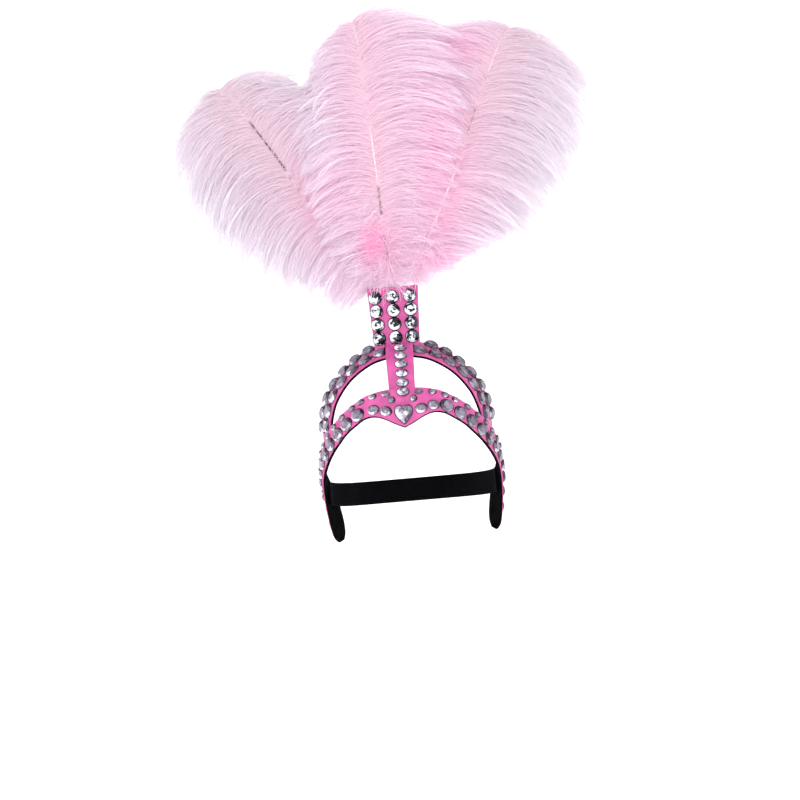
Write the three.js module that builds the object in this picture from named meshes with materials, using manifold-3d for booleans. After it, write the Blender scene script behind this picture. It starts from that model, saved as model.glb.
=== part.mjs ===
import * as THREE from 'three';
import * as BufferGeometryUtils from 'three/addons/utils/BufferGeometryUtils.js';
import Module from 'manifold-3d';

// Carnival feather headdress: a fabric-faced foam frame with stones, an elastic strap and three plumes.
// Millimetres, +Z up, the wearer looks along -Y. The origin is at brow height, in the middle of the head.

const wasm = await Module();
wasm.setup();

// Head form that the frame wraps, at the inner face of the frame
const HEAD = { halfWidth: 88, front: 93, tabRear: 56.5, crown: 91.5 };

// Boards: foam backing, thin fabric facing, and the gap kept between touching pieces
const BACKING = 2.2;
const FACING = 1.0;
const GAP = 0.3;
const BOARD = BACKING + GAP + FACING;

// Edges of the front band on the right side, from the middle to the end of the tab behind the ear.
// Bearings go round the head from the front in degrees, heights are of the board's outer face.
const FRONT_BAND = [
  { lowBearing: 0, low: 0, highBearing: 0, high: 39.5, inset: 0 },
  { lowBearing: 6, low: 4.5, highBearing: 6, high: 39.5, inset: 0 },
  { lowBearing: 12.5, low: 9.8, highBearing: 12, high: 39, inset: 0 },
  { lowBearing: 19.3, low: 13, highBearing: 18.5, high: 37.5, inset: 0 },
  { lowBearing: 26.5, low: 11.5, highBearing: 26, high: 34.5, inset: 0 },
  { lowBearing: 34, low: 5, highBearing: 34, high: 28.2, inset: 0 },
  { lowBearing: 41.4, low: -2, highBearing: 42, high: 21, inset: 0 },
  { lowBearing: 49, low: -11, highBearing: 50, high: 12, inset: 0 },
  { lowBearing: 57, low: -20, highBearing: 58.5, high: 3, inset: 0 },
  { lowBearing: 65, low: -29.5, highBearing: 67.5, high: -7, inset: 0 },
  { lowBearing: 74, low: -40, highBearing: 78, high: -17, inset: 0 },
  { lowBearing: 82, low: -50.5, highBearing: 90, high: -29, inset: 0 },
  { lowBearing: 89, low: -62, highBearing: 102, high: -42, inset: 0 },
  { lowBearing: 94.5, low: -73, highBearing: 112, high: -56, inset: 0 },
  { lowBearing: 99, low: -84, highBearing: 118, high: -71, inset: 0 },
  { lowBearing: 104, low: -97, highBearing: 122, high: -88.5, inset: 0 },
  { lowBearing: 109, low: -107, highBearing: 123, high: -101.5, inset: 0 },
  { lowBearing: 115, low: -112, highBearing: 121, high: -109.5, inset: 0 },
];

// Edges of the crown arch, from the top to the end that is glued under the front band
const CROWN_ARCH = [
  { lowBearing: 0, low: 72.5, highBearing: 0, high: 86.5, inset: 0 },
  { lowBearing: 15.3, low: 71, highBearing: 27.7, high: 84.5, inset: 0 },
  { lowBearing: 29.1, low: 66, highBearing: 46.5, high: 78.5, inset: 0 },
  { lowBearing: 42.7, low: 53, highBearing: 59.3, high: 60.5, inset: 0 },
  { lowBearing: 51.6, low: 34, highBearing: 67.2, high: 40, inset: 0 },
  { lowBearing: 57.6, low: 17, highBearing: 74, high: 17, inset: 2.2 },
  { lowBearing: 63.5, low: -3, highBearing: 81, high: -5, inset: 4.7 },
  { lowBearing: 68, low: -19, highBearing: 85.5, high: -29, inset: 4.9 },
];

// Centre strap: from the top edge of the front band over the arch and under the plume plate
const STRAP = { halfWidth: 13.3, from: 39.9, to: 79.5, rampEnd: 66, lap: 1.0, steps: 9 };

// Plume plate: an upright board that stands on the strap and the arch, which shape its lower edge
const PLATE = {
  centre: -2, front: -50.5, top: 140.6, low: 74, topHalf: 25.5, bottomHalf: 22.5, backing: 4.4,
};
const SEAT_DEPTH = 6;

// Stones: their sides, and how deep the ovals are sunk in the fabric. The ovals' table and the seated
// stones' base are shares of the whole.
const OVAL_SIDES = 8;
const SEATED_SIDES = 8;
const SINK = 0.8;
const TABLE = 0.66;
const BASE = 0.94;
const SHORT_OVAL = { along: 13, across: 10.4, rise: 3.0 };
const BAND_OVAL = { along: 15.8, across: 13.4, rise: 3.3 };
const ARCH_OVAL = { along: 15.8, across: 12.2, rise: 3.3 };
const SMALL_OVAL = { along: 9, across: 6.2, rise: 2.2 };
const SIDE_ROUND = { along: 7.6, across: 7.6, rise: 2.4 };
const PLATE_ROUND = { width: 13.2, height: 13.2, girdle: 1.3, rise: 4.6, table: 0.55 };
const STRAP_OVAL = { width: 12.6, height: 9.2, girdle: 1.0, rise: 3.4, table: 0.55 };
const HEART = { width: 18, height: 20.5, girdle: 1.4, rise: 4.4, table: 0.6, across: 0.38, halfSteps: 7 };

// Rows of ovals on both sides: the stone, its place across the board, how many, from where at what pitch,
// and how much further out the left side's stones sit
const BAND_ROWS = [
  { stone: SHORT_OVAL, across: 0.3, count: 2, first: 18.7, pitch: 13.4, further: 0 },
  { stone: BAND_OVAL, across: 0.37, count: 11, first: 46, pitch: 16.6, further: 4 },
  { stone: SMALL_OVAL, across: 0.85, count: 3, first: 16.5, pitch: 13.8, further: 0 },
  { stone: SMALL_OVAL, across: 0.86, count: 11, first: 56, pitch: 15.6, further: 0 },
  { stone: SIDE_ROUND, across: 0.68, count: 1, first: 11, pitch: 0, further: 0 },
];
const ARCH_ROWS = [
  { stone: ARCH_OVAL, across: 0.36, count: 7, first: 20, pitch: 16.2, further: 0 },
  { stone: ARCH_OVAL, across: 0.9, count: 7, first: 32.5, pitch: 16.2, further: 0 },
];

// Plate stones: three columns and four rows. Strap stones: one column, a little right of the middle.
const PLATE_STONES = {
  columns: [-1, 0, 1], rows: 4, shiftX: -0.7, pitchX: 17.4, taperX: 0.3, pitchZ: 13.6, topZ: 131,
};
const STRAP_STONES = { heights: [35.8, 44.6, 52.8, 60.4, 67.8, 75], shiftX: 1 };

// Elastic strap round the back of the head: its right half from its sewn end inside the tab to the nape
const ELASTIC = { width: 24, thickness: 1.2, height: -60, nape: -66, stepsEach: 3 };
const ELASTIC_HALF = [
  { x: 84.4, y: 1 },
  { x: 82.8, y: 11.5 },
  { x: 77.9, y: 22.5 },
  { x: 68.5, y: 37 },
  { x: 53, y: 58 },
  { x: 28, y: 76 },
  { x: 0, y: 82 },
];

// Plumes: each shaft from the end of its quill in the plate to its tip, and how its barbs grow on either
// side: where along the shaft's length, how long, the angle they leave it at, and how far they droop.
// The lean turns them to the back of the vane, or to the front where it is negative.
const QUILL_RADIUS = 1.4;
const TIP_RADIUS = 0.5;
const SHAFT_STEPS = 14;
const QUILL_STEPS = 4;
const PLUMES = {
  plume_left: {
    shaft: [
      { x: -9.5, y: -47, z: 108 }, { x: -13.5, y: -47, z: 140 }, { x: -40, y: -44, z: 187 },
      { x: -80, y: -42, z: 237 }, { x: -106, y: -40, z: 280 }, { x: -129, y: -34, z: 316.5 },
      { x: -144, y: -24, z: 341 }, { x: -158, y: -8, z: 356 },
    ],
    left: [
      { at: 0.18, length: 34, angle: 88, droop: 20 }, { at: 0.30, length: 64, angle: 80, droop: 45 },
      { at: 0.45, length: 88, angle: 66, droop: 72 }, { at: 0.60, length: 104, angle: 60, droop: 90 },
      { at: 0.78, length: 108, angle: 58, droop: 96 }, { at: 0.90, length: 94, angle: 48, droop: 88 },
      { at: 1.00, length: 72, angle: 22, droop: 76 },
    ],
    right: [
      { at: 0.28, length: 40, angle: 55, droop: 42 }, { at: 0.40, length: 58, angle: 56, droop: 48 },
      { at: 0.60, length: 76, angle: 60, droop: 54 }, { at: 0.80, length: 80, angle: 68, droop: 64 },
      { at: 0.92, length: 75, angle: 84, droop: 76 }, { at: 1.00, length: 70, angle: 97, droop: 70 },
    ],
    lean: 4,
  },
  plume_centre: {
    shaft: [
      { x: -2.5, y: -47, z: 102 }, { x: -2.5, y: -47, z: 140 }, { x: -5.5, y: -50, z: 186 },
      { x: -7.4, y: -51, z: 246.7 }, { x: -10.2, y: -50, z: 303 }, { x: -13, y: -45, z: 352 },
      { x: -15.3, y: -37, z: 386 }, { x: -19.4, y: -22, z: 409.6 },
    ],
    left: [
      { at: 0.20, length: 34, angle: 78, droop: 26 }, { at: 0.30, length: 60, angle: 68, droop: 56 },
      { at: 0.50, length: 78, angle: 60, droop: 80 }, { at: 0.70, length: 80, angle: 54, droop: 94 },
      { at: 0.84, length: 64, angle: 47, droop: 100 }, { at: 0.93, length: 52, angle: 44, droop: 100 },
      { at: 1.00, length: 36, angle: 44, droop: 92 },
    ],
    right: [
      { at: 0.19, length: 36, angle: 80, droop: 26 }, { at: 0.30, length: 60, angle: 68, droop: 54 },
      { at: 0.50, length: 84, angle: 61, droop: 70 }, { at: 0.70, length: 98, angle: 60, droop: 73 },
      { at: 0.84, length: 102, angle: 59, droop: 70 }, { at: 0.93, length: 98, angle: 62, droop: 68 },
      { at: 1.00, length: 90, angle: 66, droop: 64 },
    ],
    lean: -4,
  },
  plume_right: {
    shaft: [
      { x: 9.5, y: -47, z: 108 }, { x: 20, y: -47, z: 140 }, { x: 43.5, y: -43, z: 196 },
      { x: 71.4, y: -39, z: 252.7 }, { x: 91, y: -34, z: 299 }, { x: 109.4, y: -26, z: 341.9 },
      { x: 123.2, y: -15, z: 372.3 }, { x: 136.8, y: -3, z: 391.6 },
    ],
    left: [
      { at: 0.26, length: 34, angle: 55, droop: 42 }, { at: 0.40, length: 52, angle: 54, droop: 50 },
      { at: 0.60, length: 66, angle: 58, droop: 56 }, { at: 0.80, length: 68, angle: 64, droop: 58 },
      { at: 0.92, length: 64, angle: 74, droop: 60 }, { at: 1.00, length: 58, angle: 98, droop: 42 },
    ],
    right: [
      { at: 0.16, length: 32, angle: 66, droop: 12 }, { at: 0.28, length: 64, angle: 68, droop: 30 },
      { at: 0.42, length: 92, angle: 66, droop: 50 }, { at: 0.58, length: 112, angle: 60, droop: 66 },
      { at: 0.75, length: 120, angle: 54, droop: 72 }, { at: 0.88, length: 109, angle: 46, droop: 64 },
      { at: 1.00, length: 88, angle: 45, droop: 55 },
    ],
    lean: 6,
  },
};

// Locks of a plume: how many on each side, the last one's place on the shaft, the points along each and
// its thickness; its width is the pitch or its length by the slender ratio, times a swell at root, belly
// and tip
const LOCKS = {
  perSide: 7, last: 0.95, steps: 4, thickness: 6, thinning: 0.6, slender: 0.36,
  rootWidth: 1.05, bellyWidth: 1.4, tipWidth: 0.5,
};

// Surface finishes
const PINK_FABRIC = { color: 0xe8559f, roughness: 0.45, metalness: 0.0 };
const BLACK_FOAM = { color: 0x26282b, roughness: 0.85, metalness: 0.0 };
const ELASTIC_WEB = { color: 0x121214, roughness: 0.8, metalness: 0.0 };
const CLEAR_STONE = { color: 0xd9dde2, roughness: 0.08, metalness: 0.6 };
const PLUME_PINK = { color: 0xf6c8e1, roughness: 0.9, metalness: 0.0 };

const radians = THREE.MathUtils.degToRad;
const lerp = THREE.MathUtils.lerp;

// Helpers: solids and meshes

function toSolid(geometry) {
  geometry.deleteAttribute('normal');
  geometry.deleteAttribute('uv');
  const merged = BufferGeometryUtils.mergeVertices(geometry, 1e-4);
  return new wasm.Manifold(new wasm.Mesh({
    numProp: 3,
    vertProperties: new Float32Array(merged.attributes.position.array),
    triVerts: new Uint32Array(merged.index.array),
  }));
}

function toGeometry(solid) {
  const mesh = solid.getMesh();
  const geometry = new THREE.BufferGeometry();
  geometry.setAttribute('position', new THREE.BufferAttribute(mesh.vertProperties, 3));
  geometry.setIndex(new THREE.BufferAttribute(mesh.triVerts, 1));
  geometry.computeVertexNormals();
  return geometry;
}

function named(name, geometry, finish) {
  const mesh = new THREE.Mesh(geometry, new THREE.MeshStandardMaterial(finish));
  mesh.name = name;
  return mesh;
}

// Six times the volume that a closed set of faces holds, negative where they face inwards
function signedVolume(points, faces) {
  let total = 0;
  for (let face = 0; face < faces.length; face += 3) {
    const [a, b, c] = [points[faces[face]], points[faces[face + 1]], points[faces[face + 2]]];
    total += a.dot(new THREE.Vector3().crossVectors(b, c));
  }
  return total;
}

// A closed solid through rings of equal point count, with a fan over each end and its faces outwards
function loft(rings) {
  const sides = rings[0].length;
  const points = rings.flat();
  const faces = [];
  for (let ring = 0; ring < rings.length - 1; ring += 1) {
    for (let side = 0; side < sides; side += 1) {
      const a = ring * sides + side;
      const b = ring * sides + (side + 1) % sides;
      const [c, d] = [a + sides, b + sides];
      const rising = points[a].distanceTo(points[d]) < points[b].distanceTo(points[c]);
      faces.push(...(rising ? [a, b, d, a, d, c] : [a, b, c, b, d, c]));
    }
  }
  const last = (rings.length - 1) * sides;
  for (let side = 1; side < sides - 1; side += 1) {
    faces.push(0, side + 1, side);
    faces.push(last, last + side, last + side + 1);
  }
  if (signedVolume(points, faces) < 0) {
    faces.reverse();
  }
  const geometry = new THREE.BufferGeometry();
  const positions = points.flatMap((point) => point.toArray());
  geometry.setAttribute('position', new THREE.Float32BufferAttribute(positions, 3));
  geometry.setIndex(faces);
  return geometry;
}

// The head form and the boards that wrap it

// A point at a bearing and height of the board's outer face, moved by an offset from the inner face
function dome(bearing, height, offset) {
  const lift = height > 0 ? Math.asin(height / (HEAD.crown + BOARD)) : 0;
  const turn = radians(bearing);
  const depth = Math.abs(bearing) < 90 ? HEAD.front : HEAD.tabRear;
  return new THREE.Vector3(
    (HEAD.halfWidth + offset) * Math.cos(lift) * Math.sin(turn),
    -(depth + offset) * Math.cos(lift) * Math.cos(turn),
    height > 0 ? (HEAD.crown + offset) * Math.sin(lift) : height,
  );
}

// A board's surface, straight across: along from -1 at the left end to 1 at the right end, across from
// its low edge to its high edge
function boardSurface(rows) {
  const low = new THREE.SplineCurve(rows.map((row) => new THREE.Vector2(row.lowBearing, row.low)));
  const high = new THREE.SplineCurve(rows.map((row) => new THREE.Vector2(row.highBearing, row.high)));
  const inset = new THREE.SplineCurve(rows.map((row, index) => new THREE.Vector2(index, row.inset)));
  return (along, across, offset) => {
    const t = Math.min(Math.abs(along), 1);
    const side = along < 0 ? -1 : 1;
    const lowEdge = low.getPoint(t);
    const highEdge = high.getPoint(t);
    const level = offset - inset.getPoint(t).y;
    return dome(side * lowEdge.x, lowEdge.y, level).lerp(dome(side * highEdge.x, highEdge.y, level), across);
  };
}

// A board between two offsets
function boardSolid(surface, inner, outer, halfSteps) {
  const rings = [];
  for (let step = -halfSteps; step <= halfSteps; step += 1) {
    const along = step / halfSteps;
    rings.push([
      surface(along, 0, inner), surface(along, 0, outer), surface(along, 1, outer), surface(along, 1, inner),
    ]);
  }
  return loft(rings);
}

// The place on a board's outer face that lies a distance from the middle, with its directions
function placeOn(surface, across, distance, offset) {
  const side = distance < 0 ? -1 : 1;
  const step = 0.002;
  let travelled = 0;
  let along = 0;
  let point = surface(0, across, offset);
  while (travelled < Math.abs(distance) && along < 1) {
    along += step;
    const next = surface(side * along, across, offset);
    travelled += next.distanceTo(point);
    point = next;
  }
  const at = side * along;
  const ahead = surface(at + step, across, offset).sub(surface(at - step, across, offset));
  const over = surface(at, across + 0.05, offset).sub(surface(at, across - 0.05, offset));
  const xAxis = ahead.normalize();
  const zAxis = new THREE.Vector3().crossVectors(xAxis, over).normalize();
  const yAxis = new THREE.Vector3().crossVectors(zAxis, xAxis);
  return new THREE.Matrix4().makeBasis(xAxis, yAxis, zAxis).setPosition(point);
}

// Stones

function ring(sides, halfX, halfY, z, phase = 0) {
  return Array.from({ length: sides }, (unused, index) => {
    const turn = ((index + phase) / sides) * 2 * Math.PI;
    return new THREE.Vector3(halfX * Math.cos(turn), halfY * Math.sin(turn), z);
  });
}

// A foil-backed oval with a big flat table and one facet a side, sunk into the fabric
function ovalStone(stone) {
  const base = ring(OVAL_SIDES, stone.along / 2, stone.across / 2, -SINK, 0.5);
  const table = ring(OVAL_SIDES, (stone.along / 2) * TABLE, (stone.across / 2) * TABLE, stone.rise, 0.5);
  return loft([base, table]);
}

// A round or oval stone that is glued on, with a girdle, crown facets and a table
function seatedStone(stone) {
  const level = (scale, z) => ring(SEATED_SIDES, (scale * stone.width) / 2, (scale * stone.height) / 2, z);
  return loft([level(BASE, 0), level(1, stone.girdle), level(stone.table, stone.rise)]);
}

// The outline of a heart with its point down, as a ring at one height
function heartRing(scale, z) {
  const points = [];
  const steps = 2 * HEART.halfSteps;
  for (let step = 0; step < steps; step += 1) {
    const turn = (step / steps) * 2 * Math.PI;
    const x = Math.sin(turn) ** 3;
    const lobes = 13 * Math.cos(turn) - 5 * Math.cos(2 * turn);
    const y = (lobes - 2 * Math.cos(3 * turn) - Math.cos(4 * turn)) / 14.5;
    points.push(new THREE.Vector3(-x * scale * (HEART.width / 2), y * scale * (HEART.height / 2), z));
  }
  return points;
}

function heartStone() {
  return loft([heartRing(BASE, 0), heartRing(1, HEART.girdle), heartRing(HEART.table, HEART.rise)]);
}

// A facing with a stone sunk into it at each place
function facingWithStones(surface, halfSteps, places) {
  let solid = toSolid(boardSolid(surface, BACKING + GAP, BOARD, halfSteps));
  for (const { stone, matrix } of places) {
    solid = solid.add(toSolid(ovalStone(stone).applyMatrix4(matrix)));
  }
  return toGeometry(solid);
}

// Both halves of a row of stones
function rowPlaces(surface, row) {
  const places = [];
  for (let index = 0; index < row.count; index += 1) {
    const distance = row.first + index * row.pitch;
    for (const place of [-distance - row.further, distance]) {
      places.push({ stone: row.stone, matrix: placeOn(surface, row.across, place, BOARD) });
    }
  }
  return places;
}

// Frame pieces

const bandSurface = boardSurface(FRONT_BAND);
const archSurface = boardSurface(CROWN_ARCH);
const BAND_STEPS = FRONT_BAND.length - 1;
const ARCH_STEPS = 12;

function frontBand() {
  const places = BAND_ROWS.flatMap((row) => rowPlaces(bandSurface, row));
  return [
    named('front_band_backing', boardSolid(bandSurface, 0, BACKING, BAND_STEPS), BLACK_FOAM),
    named('front_band_facing', facingWithStones(bandSurface, BAND_STEPS, places), PINK_FABRIC),
  ];
}

function crownArch() {
  const places = ARCH_ROWS.flatMap((row) => rowPlaces(archSurface, row));
  return [
    named('crown_arch_backing', boardSolid(archSurface, 0, BACKING, ARCH_STEPS), BLACK_FOAM),
    named('crown_arch_facing', facingWithStones(archSurface, ARCH_STEPS, places), PINK_FABRIC),
  ];
}

// The strap's surface at a height: it climbs from the band's level to lie on the arch
function strapPoint(height, x, offset) {
  const climb = THREE.MathUtils.smoothstep(height, STRAP.from, STRAP.rampEnd) * (BOARD + STRAP.lap);
  const lift = Math.asin(height / (HEAD.crown + BOARD));
  const bearing = Math.asin(x / ((HEAD.halfWidth + BOARD) * Math.cos(lift)));
  return dome(THREE.MathUtils.radToDeg(bearing), height, offset + climb);
}

function strapSolid(inner, outer) {
  const rings = [];
  const half = STRAP.halfWidth;
  for (let step = 0; step <= STRAP.steps; step += 1) {
    const height = lerp(STRAP.from, STRAP.to, step / STRAP.steps);
    rings.push([
      strapPoint(height, half, inner), strapPoint(height, half, outer), strapPoint(height, 0, outer),
      strapPoint(height, -half, outer), strapPoint(height, -half, inner), strapPoint(height, 0, inner),
    ]);
  }
  return loft(rings);
}

function centreStrap() {
  return [
    named('strap_backing', strapSolid(0, BACKING), BLACK_FOAM),
    named('strap_facing', strapSolid(BACKING + GAP, BOARD), PINK_FABRIC),
  ];
}

function strapStones() {
  const meshes = [];
  for (const [index, height] of STRAP_STONES.heights.entries()) {
    const x = STRAP_STONES.shiftX;
    const seat = strapPoint(height, x, BOARD + GAP);
    const up = strapPoint(height + 0.5, x, BOARD).sub(strapPoint(height - 0.5, x, BOARD)).normalize();
    const right = new THREE.Vector3(1, 0, 0);
    const out = new THREE.Vector3().crossVectors(right, up);
    const stone = named(`strap_stone_${index + 1}`, seatedStone(STRAP_OVAL), CLEAR_STONE);
    stone.applyMatrix4(new THREE.Matrix4().makeBasis(right, up, out).setPosition(seat));
    meshes.push(stone);
  }
  return meshes;
}

function placedHeart() {
  const heart = named('heart_stone', heartStone(), CLEAR_STONE);
  heart.applyMatrix4(placeOn(bandSurface, HEART.across, 0, BOARD + GAP));
  return heart;
}

// The plate's outline as an upright prism between two depths
function plateBoard(front, back) {
  const outline = (y) => [
    new THREE.Vector3(PLATE.centre - PLATE.bottomHalf, y, PLATE.low),
    new THREE.Vector3(PLATE.centre + PLATE.bottomHalf, y, PLATE.low),
    new THREE.Vector3(PLATE.centre + PLATE.topHalf, y, PLATE.top),
    new THREE.Vector3(PLATE.centre - PLATE.topHalf, y, PLATE.top),
  ];
  return loft([outline(back), outline(front)]);
}

// What the plate stands on, grown by the gap, to shape its lower edge: arch, stones and strap
function plateSeat() {
  const arch = toSolid(boardSolid(archSurface, -SEAT_DEPTH, BOARD + GAP, ARCH_STEPS));
  const strap = toSolid(strapSolid(-SEAT_DEPTH, BOARD + GAP));
  const room = {
    along: ARCH_OVAL.along + 2 * GAP, across: ARCH_OVAL.across + 2 * GAP, rise: ARCH_OVAL.rise + GAP,
  };
  let seat = arch.add(strap);
  for (const { matrix } of ARCH_ROWS.flatMap((row) => rowPlaces(archSurface, row))) {
    seat = seat.add(toSolid(ovalStone(room).applyMatrix4(matrix)));
  }
  return seat;
}

function plumePlate(quills) {
  const seat = plateSeat();
  const back = PLATE.front + FACING + GAP;
  const facing = toSolid(plateBoard(PLATE.front, PLATE.front + FACING)).subtract(seat);
  let backing = toSolid(plateBoard(back, back + PLATE.backing)).subtract(seat);
  for (const quill of quills) {
    backing = backing.subtract(quill);
  }
  return [
    named('plate_facing', toGeometry(facing), PINK_FABRIC),
    named('plate_backing', toGeometry(backing), BLACK_FOAM),
  ];
}

function plateStones() {
  const meshes = [];
  for (let row = 0; row < PLATE_STONES.rows; row += 1) {
    for (const column of PLATE_STONES.columns) {
      const pitch = PLATE_STONES.pitchX - row * PLATE_STONES.taperX;
      const x = PLATE.centre + PLATE_STONES.shiftX + column * pitch;
      const name = `plate_stone_${row + 1}${'lcr'[column + 1]}`;
      const stone = named(name, seatedStone(PLATE_ROUND), CLEAR_STONE);
      stone.rotation.x = Math.PI / 2;
      stone.position.set(x, PLATE.front - GAP, PLATE_STONES.topZ - row * PLATE_STONES.pitchZ);
      meshes.push(stone);
    }
  }
  return meshes;
}

function elasticStrap() {
  const right = ELASTIC_HALF.map((row) => new THREE.Vector3(row.x, row.y, 0));
  const left = right.slice(0, -1).reverse().map((point) => new THREE.Vector3(-point.x, point.y, 0));
  const curve = new THREE.CatmullRomCurve3([...right, ...left], false, 'centripetal');
  const steps = ELASTIC.stepsEach * (right.length - 1);
  const rings = [];
  for (let step = 0; step <= steps; step += 1) {
    const point = curve.getPoint(step / steps);
    const tangent = curve.getTangent(step / steps);
    const normal = new THREE.Vector3(tangent.y, -tangent.x, 0).multiplyScalar(ELASTIC.thickness / 2);
    const middle = lerp(ELASTIC.height, ELASTIC.nape, Math.sin((Math.PI * step) / steps));
    const corner = (side, rise) => point.clone().addScaledVector(normal, side).setZ(middle + rise);
    const half = ELASTIC.width / 2;
    rings.push([corner(1, -half), corner(1, half), corner(-1, half), corner(-1, -half)]);
  }
  return named('elastic_strap', loft(rings), ELASTIC_WEB);
}

// Plumes

function vector(row) {
  return new THREE.Vector3(row.x, row.y, row.z);
}

// A tapering round shaft along a curve
function shaftTube(curve, from, to, startRadius, endRadius, steps) {
  const rings = [];
  for (let step = 0; step <= steps; step += 1) {
    const t = lerp(from, to, step / steps);
    const point = curve.getPointAt(t);
    const tangent = curve.getTangentAt(t);
    const across = new THREE.Vector3().crossVectors(tangent, new THREE.Vector3(0, -1, 0)).normalize();
    const front = new THREE.Vector3().crossVectors(across, tangent);
    const radius = lerp(startRadius, endRadius, step / steps);
    rings.push([0, 1, 2, 3, 4, 5].map((side) => {
      const turn = (side / 6) * 2 * Math.PI;
      return point.clone()
        .addScaledVector(across, radius * Math.cos(turn))
        .addScaledVector(front, -radius * Math.sin(turn));
    }));
  }
  return loft(rings);
}

function valueAt(rows, at, column) {
  let index = 1;
  while (index < rows.length - 1 && rows[index].at < at) {
    index += 1;
  }
  const before = rows[index - 1];
  const after = rows[index];
  const part = THREE.MathUtils.clamp((at - before.at) / (after.at - before.at), 0, 1);
  return lerp(before[column], after[column], part);
}

// The middle line of a lock: it leaves the shaft at its angle and bends over towards the ground
function lockPath(curve, at, side, rows, lean) {
  const tangent = curve.getTangentAt(at);
  const across = new THREE.Vector3().crossVectors(tangent, new THREE.Vector3(0, -1, 0)).normalize();
  const back = new THREE.Vector3(0, Math.sin(radians(lean)), 0);
  const angle = radians(valueAt(rows, at, 'angle'));
  const start = tangent.clone().multiplyScalar(Math.cos(angle))
    .addScaledVector(across, side * Math.sin(angle)).add(back).normalize();
  const down = new THREE.Vector3(0, 0, -1);
  const whole = start.angleTo(down);
  const droop = radians(valueAt(rows, at, 'droop'));
  const stretch = valueAt(rows, at, 'length') / LOCKS.steps;
  const points = [curve.getPointAt(at)];
  for (let step = 0; step < LOCKS.steps; step += 1) {
    const bend = Math.min((droop * (step + 0.5)) / LOCKS.steps, whole * 0.98);
    const direction = start.clone().multiplyScalar(Math.sin(whole - bend) / Math.sin(whole))
      .addScaledVector(down, Math.sin(bend) / Math.sin(whole));
    points.push(points[step].clone().addScaledVector(direction, stretch));
  }
  return points;
}

// A flat lock: widest at its belly, thin towards its tip
function lockSolid(points, width) {
  const count = points.length - 1;
  const rings = points.map((point, index) => {
    const before = points[Math.max(index - 1, 0)];
    const after = points[Math.min(index + 1, count)];
    const direction = after.clone().sub(before).normalize();
    const wide = new THREE.Vector3().crossVectors(direction, new THREE.Vector3(0, 1, 0)).normalize();
    const thick = new THREE.Vector3().crossVectors(wide, direction);
    const part = index / count;
    const swell = part < 0.5
      ? lerp(LOCKS.rootWidth, LOCKS.bellyWidth, part * 2)
      : lerp(LOCKS.bellyWidth, LOCKS.tipWidth, part * 2 - 1);
    const halfWide = (width * swell) / 2;
    const halfThick = (LOCKS.thickness * (1 - LOCKS.thinning * part)) / 2;
    return [
      point.clone().addScaledVector(wide, halfWide), point.clone().addScaledVector(thick, halfThick),
      point.clone().addScaledVector(wide, -halfWide), point.clone().addScaledVector(thick, -halfThick),
    ];
  });
  return loft(rings);
}

function plumeCurve(plume) {
  return new THREE.CatmullRomCurve3(plume.shaft.map(vector), false, 'catmullrom', 0.5);
}

function plumeSolid(plume) {
  const curve = plumeCurve(plume);
  let solid = toSolid(shaftTube(curve, 0, 1, QUILL_RADIUS, TIP_RADIUS, SHAFT_STEPS));
  for (const [side, rows] of [[-1, plume.left], [1, plume.right]]) {
    const first = rows[0].at;
    const pitch = (curve.getLength() * (LOCKS.last - first)) / (LOCKS.perSide - 1);
    for (let index = 0; index < LOCKS.perSide; index += 1) {
      const at = lerp(first, LOCKS.last, index / (LOCKS.perSide - 1));
      const path = lockPath(curve, at, side, rows, plume.lean);
      const width = Math.min(pitch, LOCKS.slender * valueAt(rows, at, 'length'));
      solid = solid.add(toSolid(lockSolid(path, width)));
    }
  }
  return toGeometry(solid);
}

// The room that a quill takes in the plate, through the same stations as the shaft
function quillRoom(plume) {
  const room = QUILL_RADIUS + GAP;
  return toSolid(shaftTube(plumeCurve(plume), 0, QUILL_STEPS / SHAFT_STEPS, room, room, QUILL_STEPS));
}

function plumes() {
  return Object.entries(PLUMES).map(([name, plume]) => named(name, plumeSolid(plume), PLUME_PINK));
}

const headdress = new THREE.Group();
headdress.add(
  ...frontBand(),
  ...crownArch(),
  ...centreStrap(),
  ...plumePlate(Object.values(PLUMES).map(quillRoom)),
  ...plateStones(),
  ...strapStones(),
  placedHeart(),
  elasticStrap(),
  ...plumes(),
);

export default headdress;
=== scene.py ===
"""Looks for the carnival feather headdress: fabric-covered boards, cut stones, ribbed elastic and plumes, on
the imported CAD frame. Lengths in the tables are millimetres, as in the part's source."""
import math

import bpy
import numpy as np
from mathutils import Matrix, Vector


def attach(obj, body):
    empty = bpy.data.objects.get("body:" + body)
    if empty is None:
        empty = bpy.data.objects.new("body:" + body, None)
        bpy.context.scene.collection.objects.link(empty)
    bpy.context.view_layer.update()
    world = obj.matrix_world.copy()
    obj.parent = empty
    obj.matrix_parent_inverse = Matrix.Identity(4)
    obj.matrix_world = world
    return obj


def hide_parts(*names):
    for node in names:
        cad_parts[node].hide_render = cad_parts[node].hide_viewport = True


MM = 0.001
SEED = 7

# Head form and boards, as in the part's source
HEAD = {"half_width": 88.0, "front": 93.0, "tab_rear": 56.5, "crown": 91.5}
BACKING = 2.2
FACING = 1.0
GAP = 0.3
BOARD = BACKING + GAP + FACING
COVER_BACK = BACKING + GAP / 2

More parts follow.
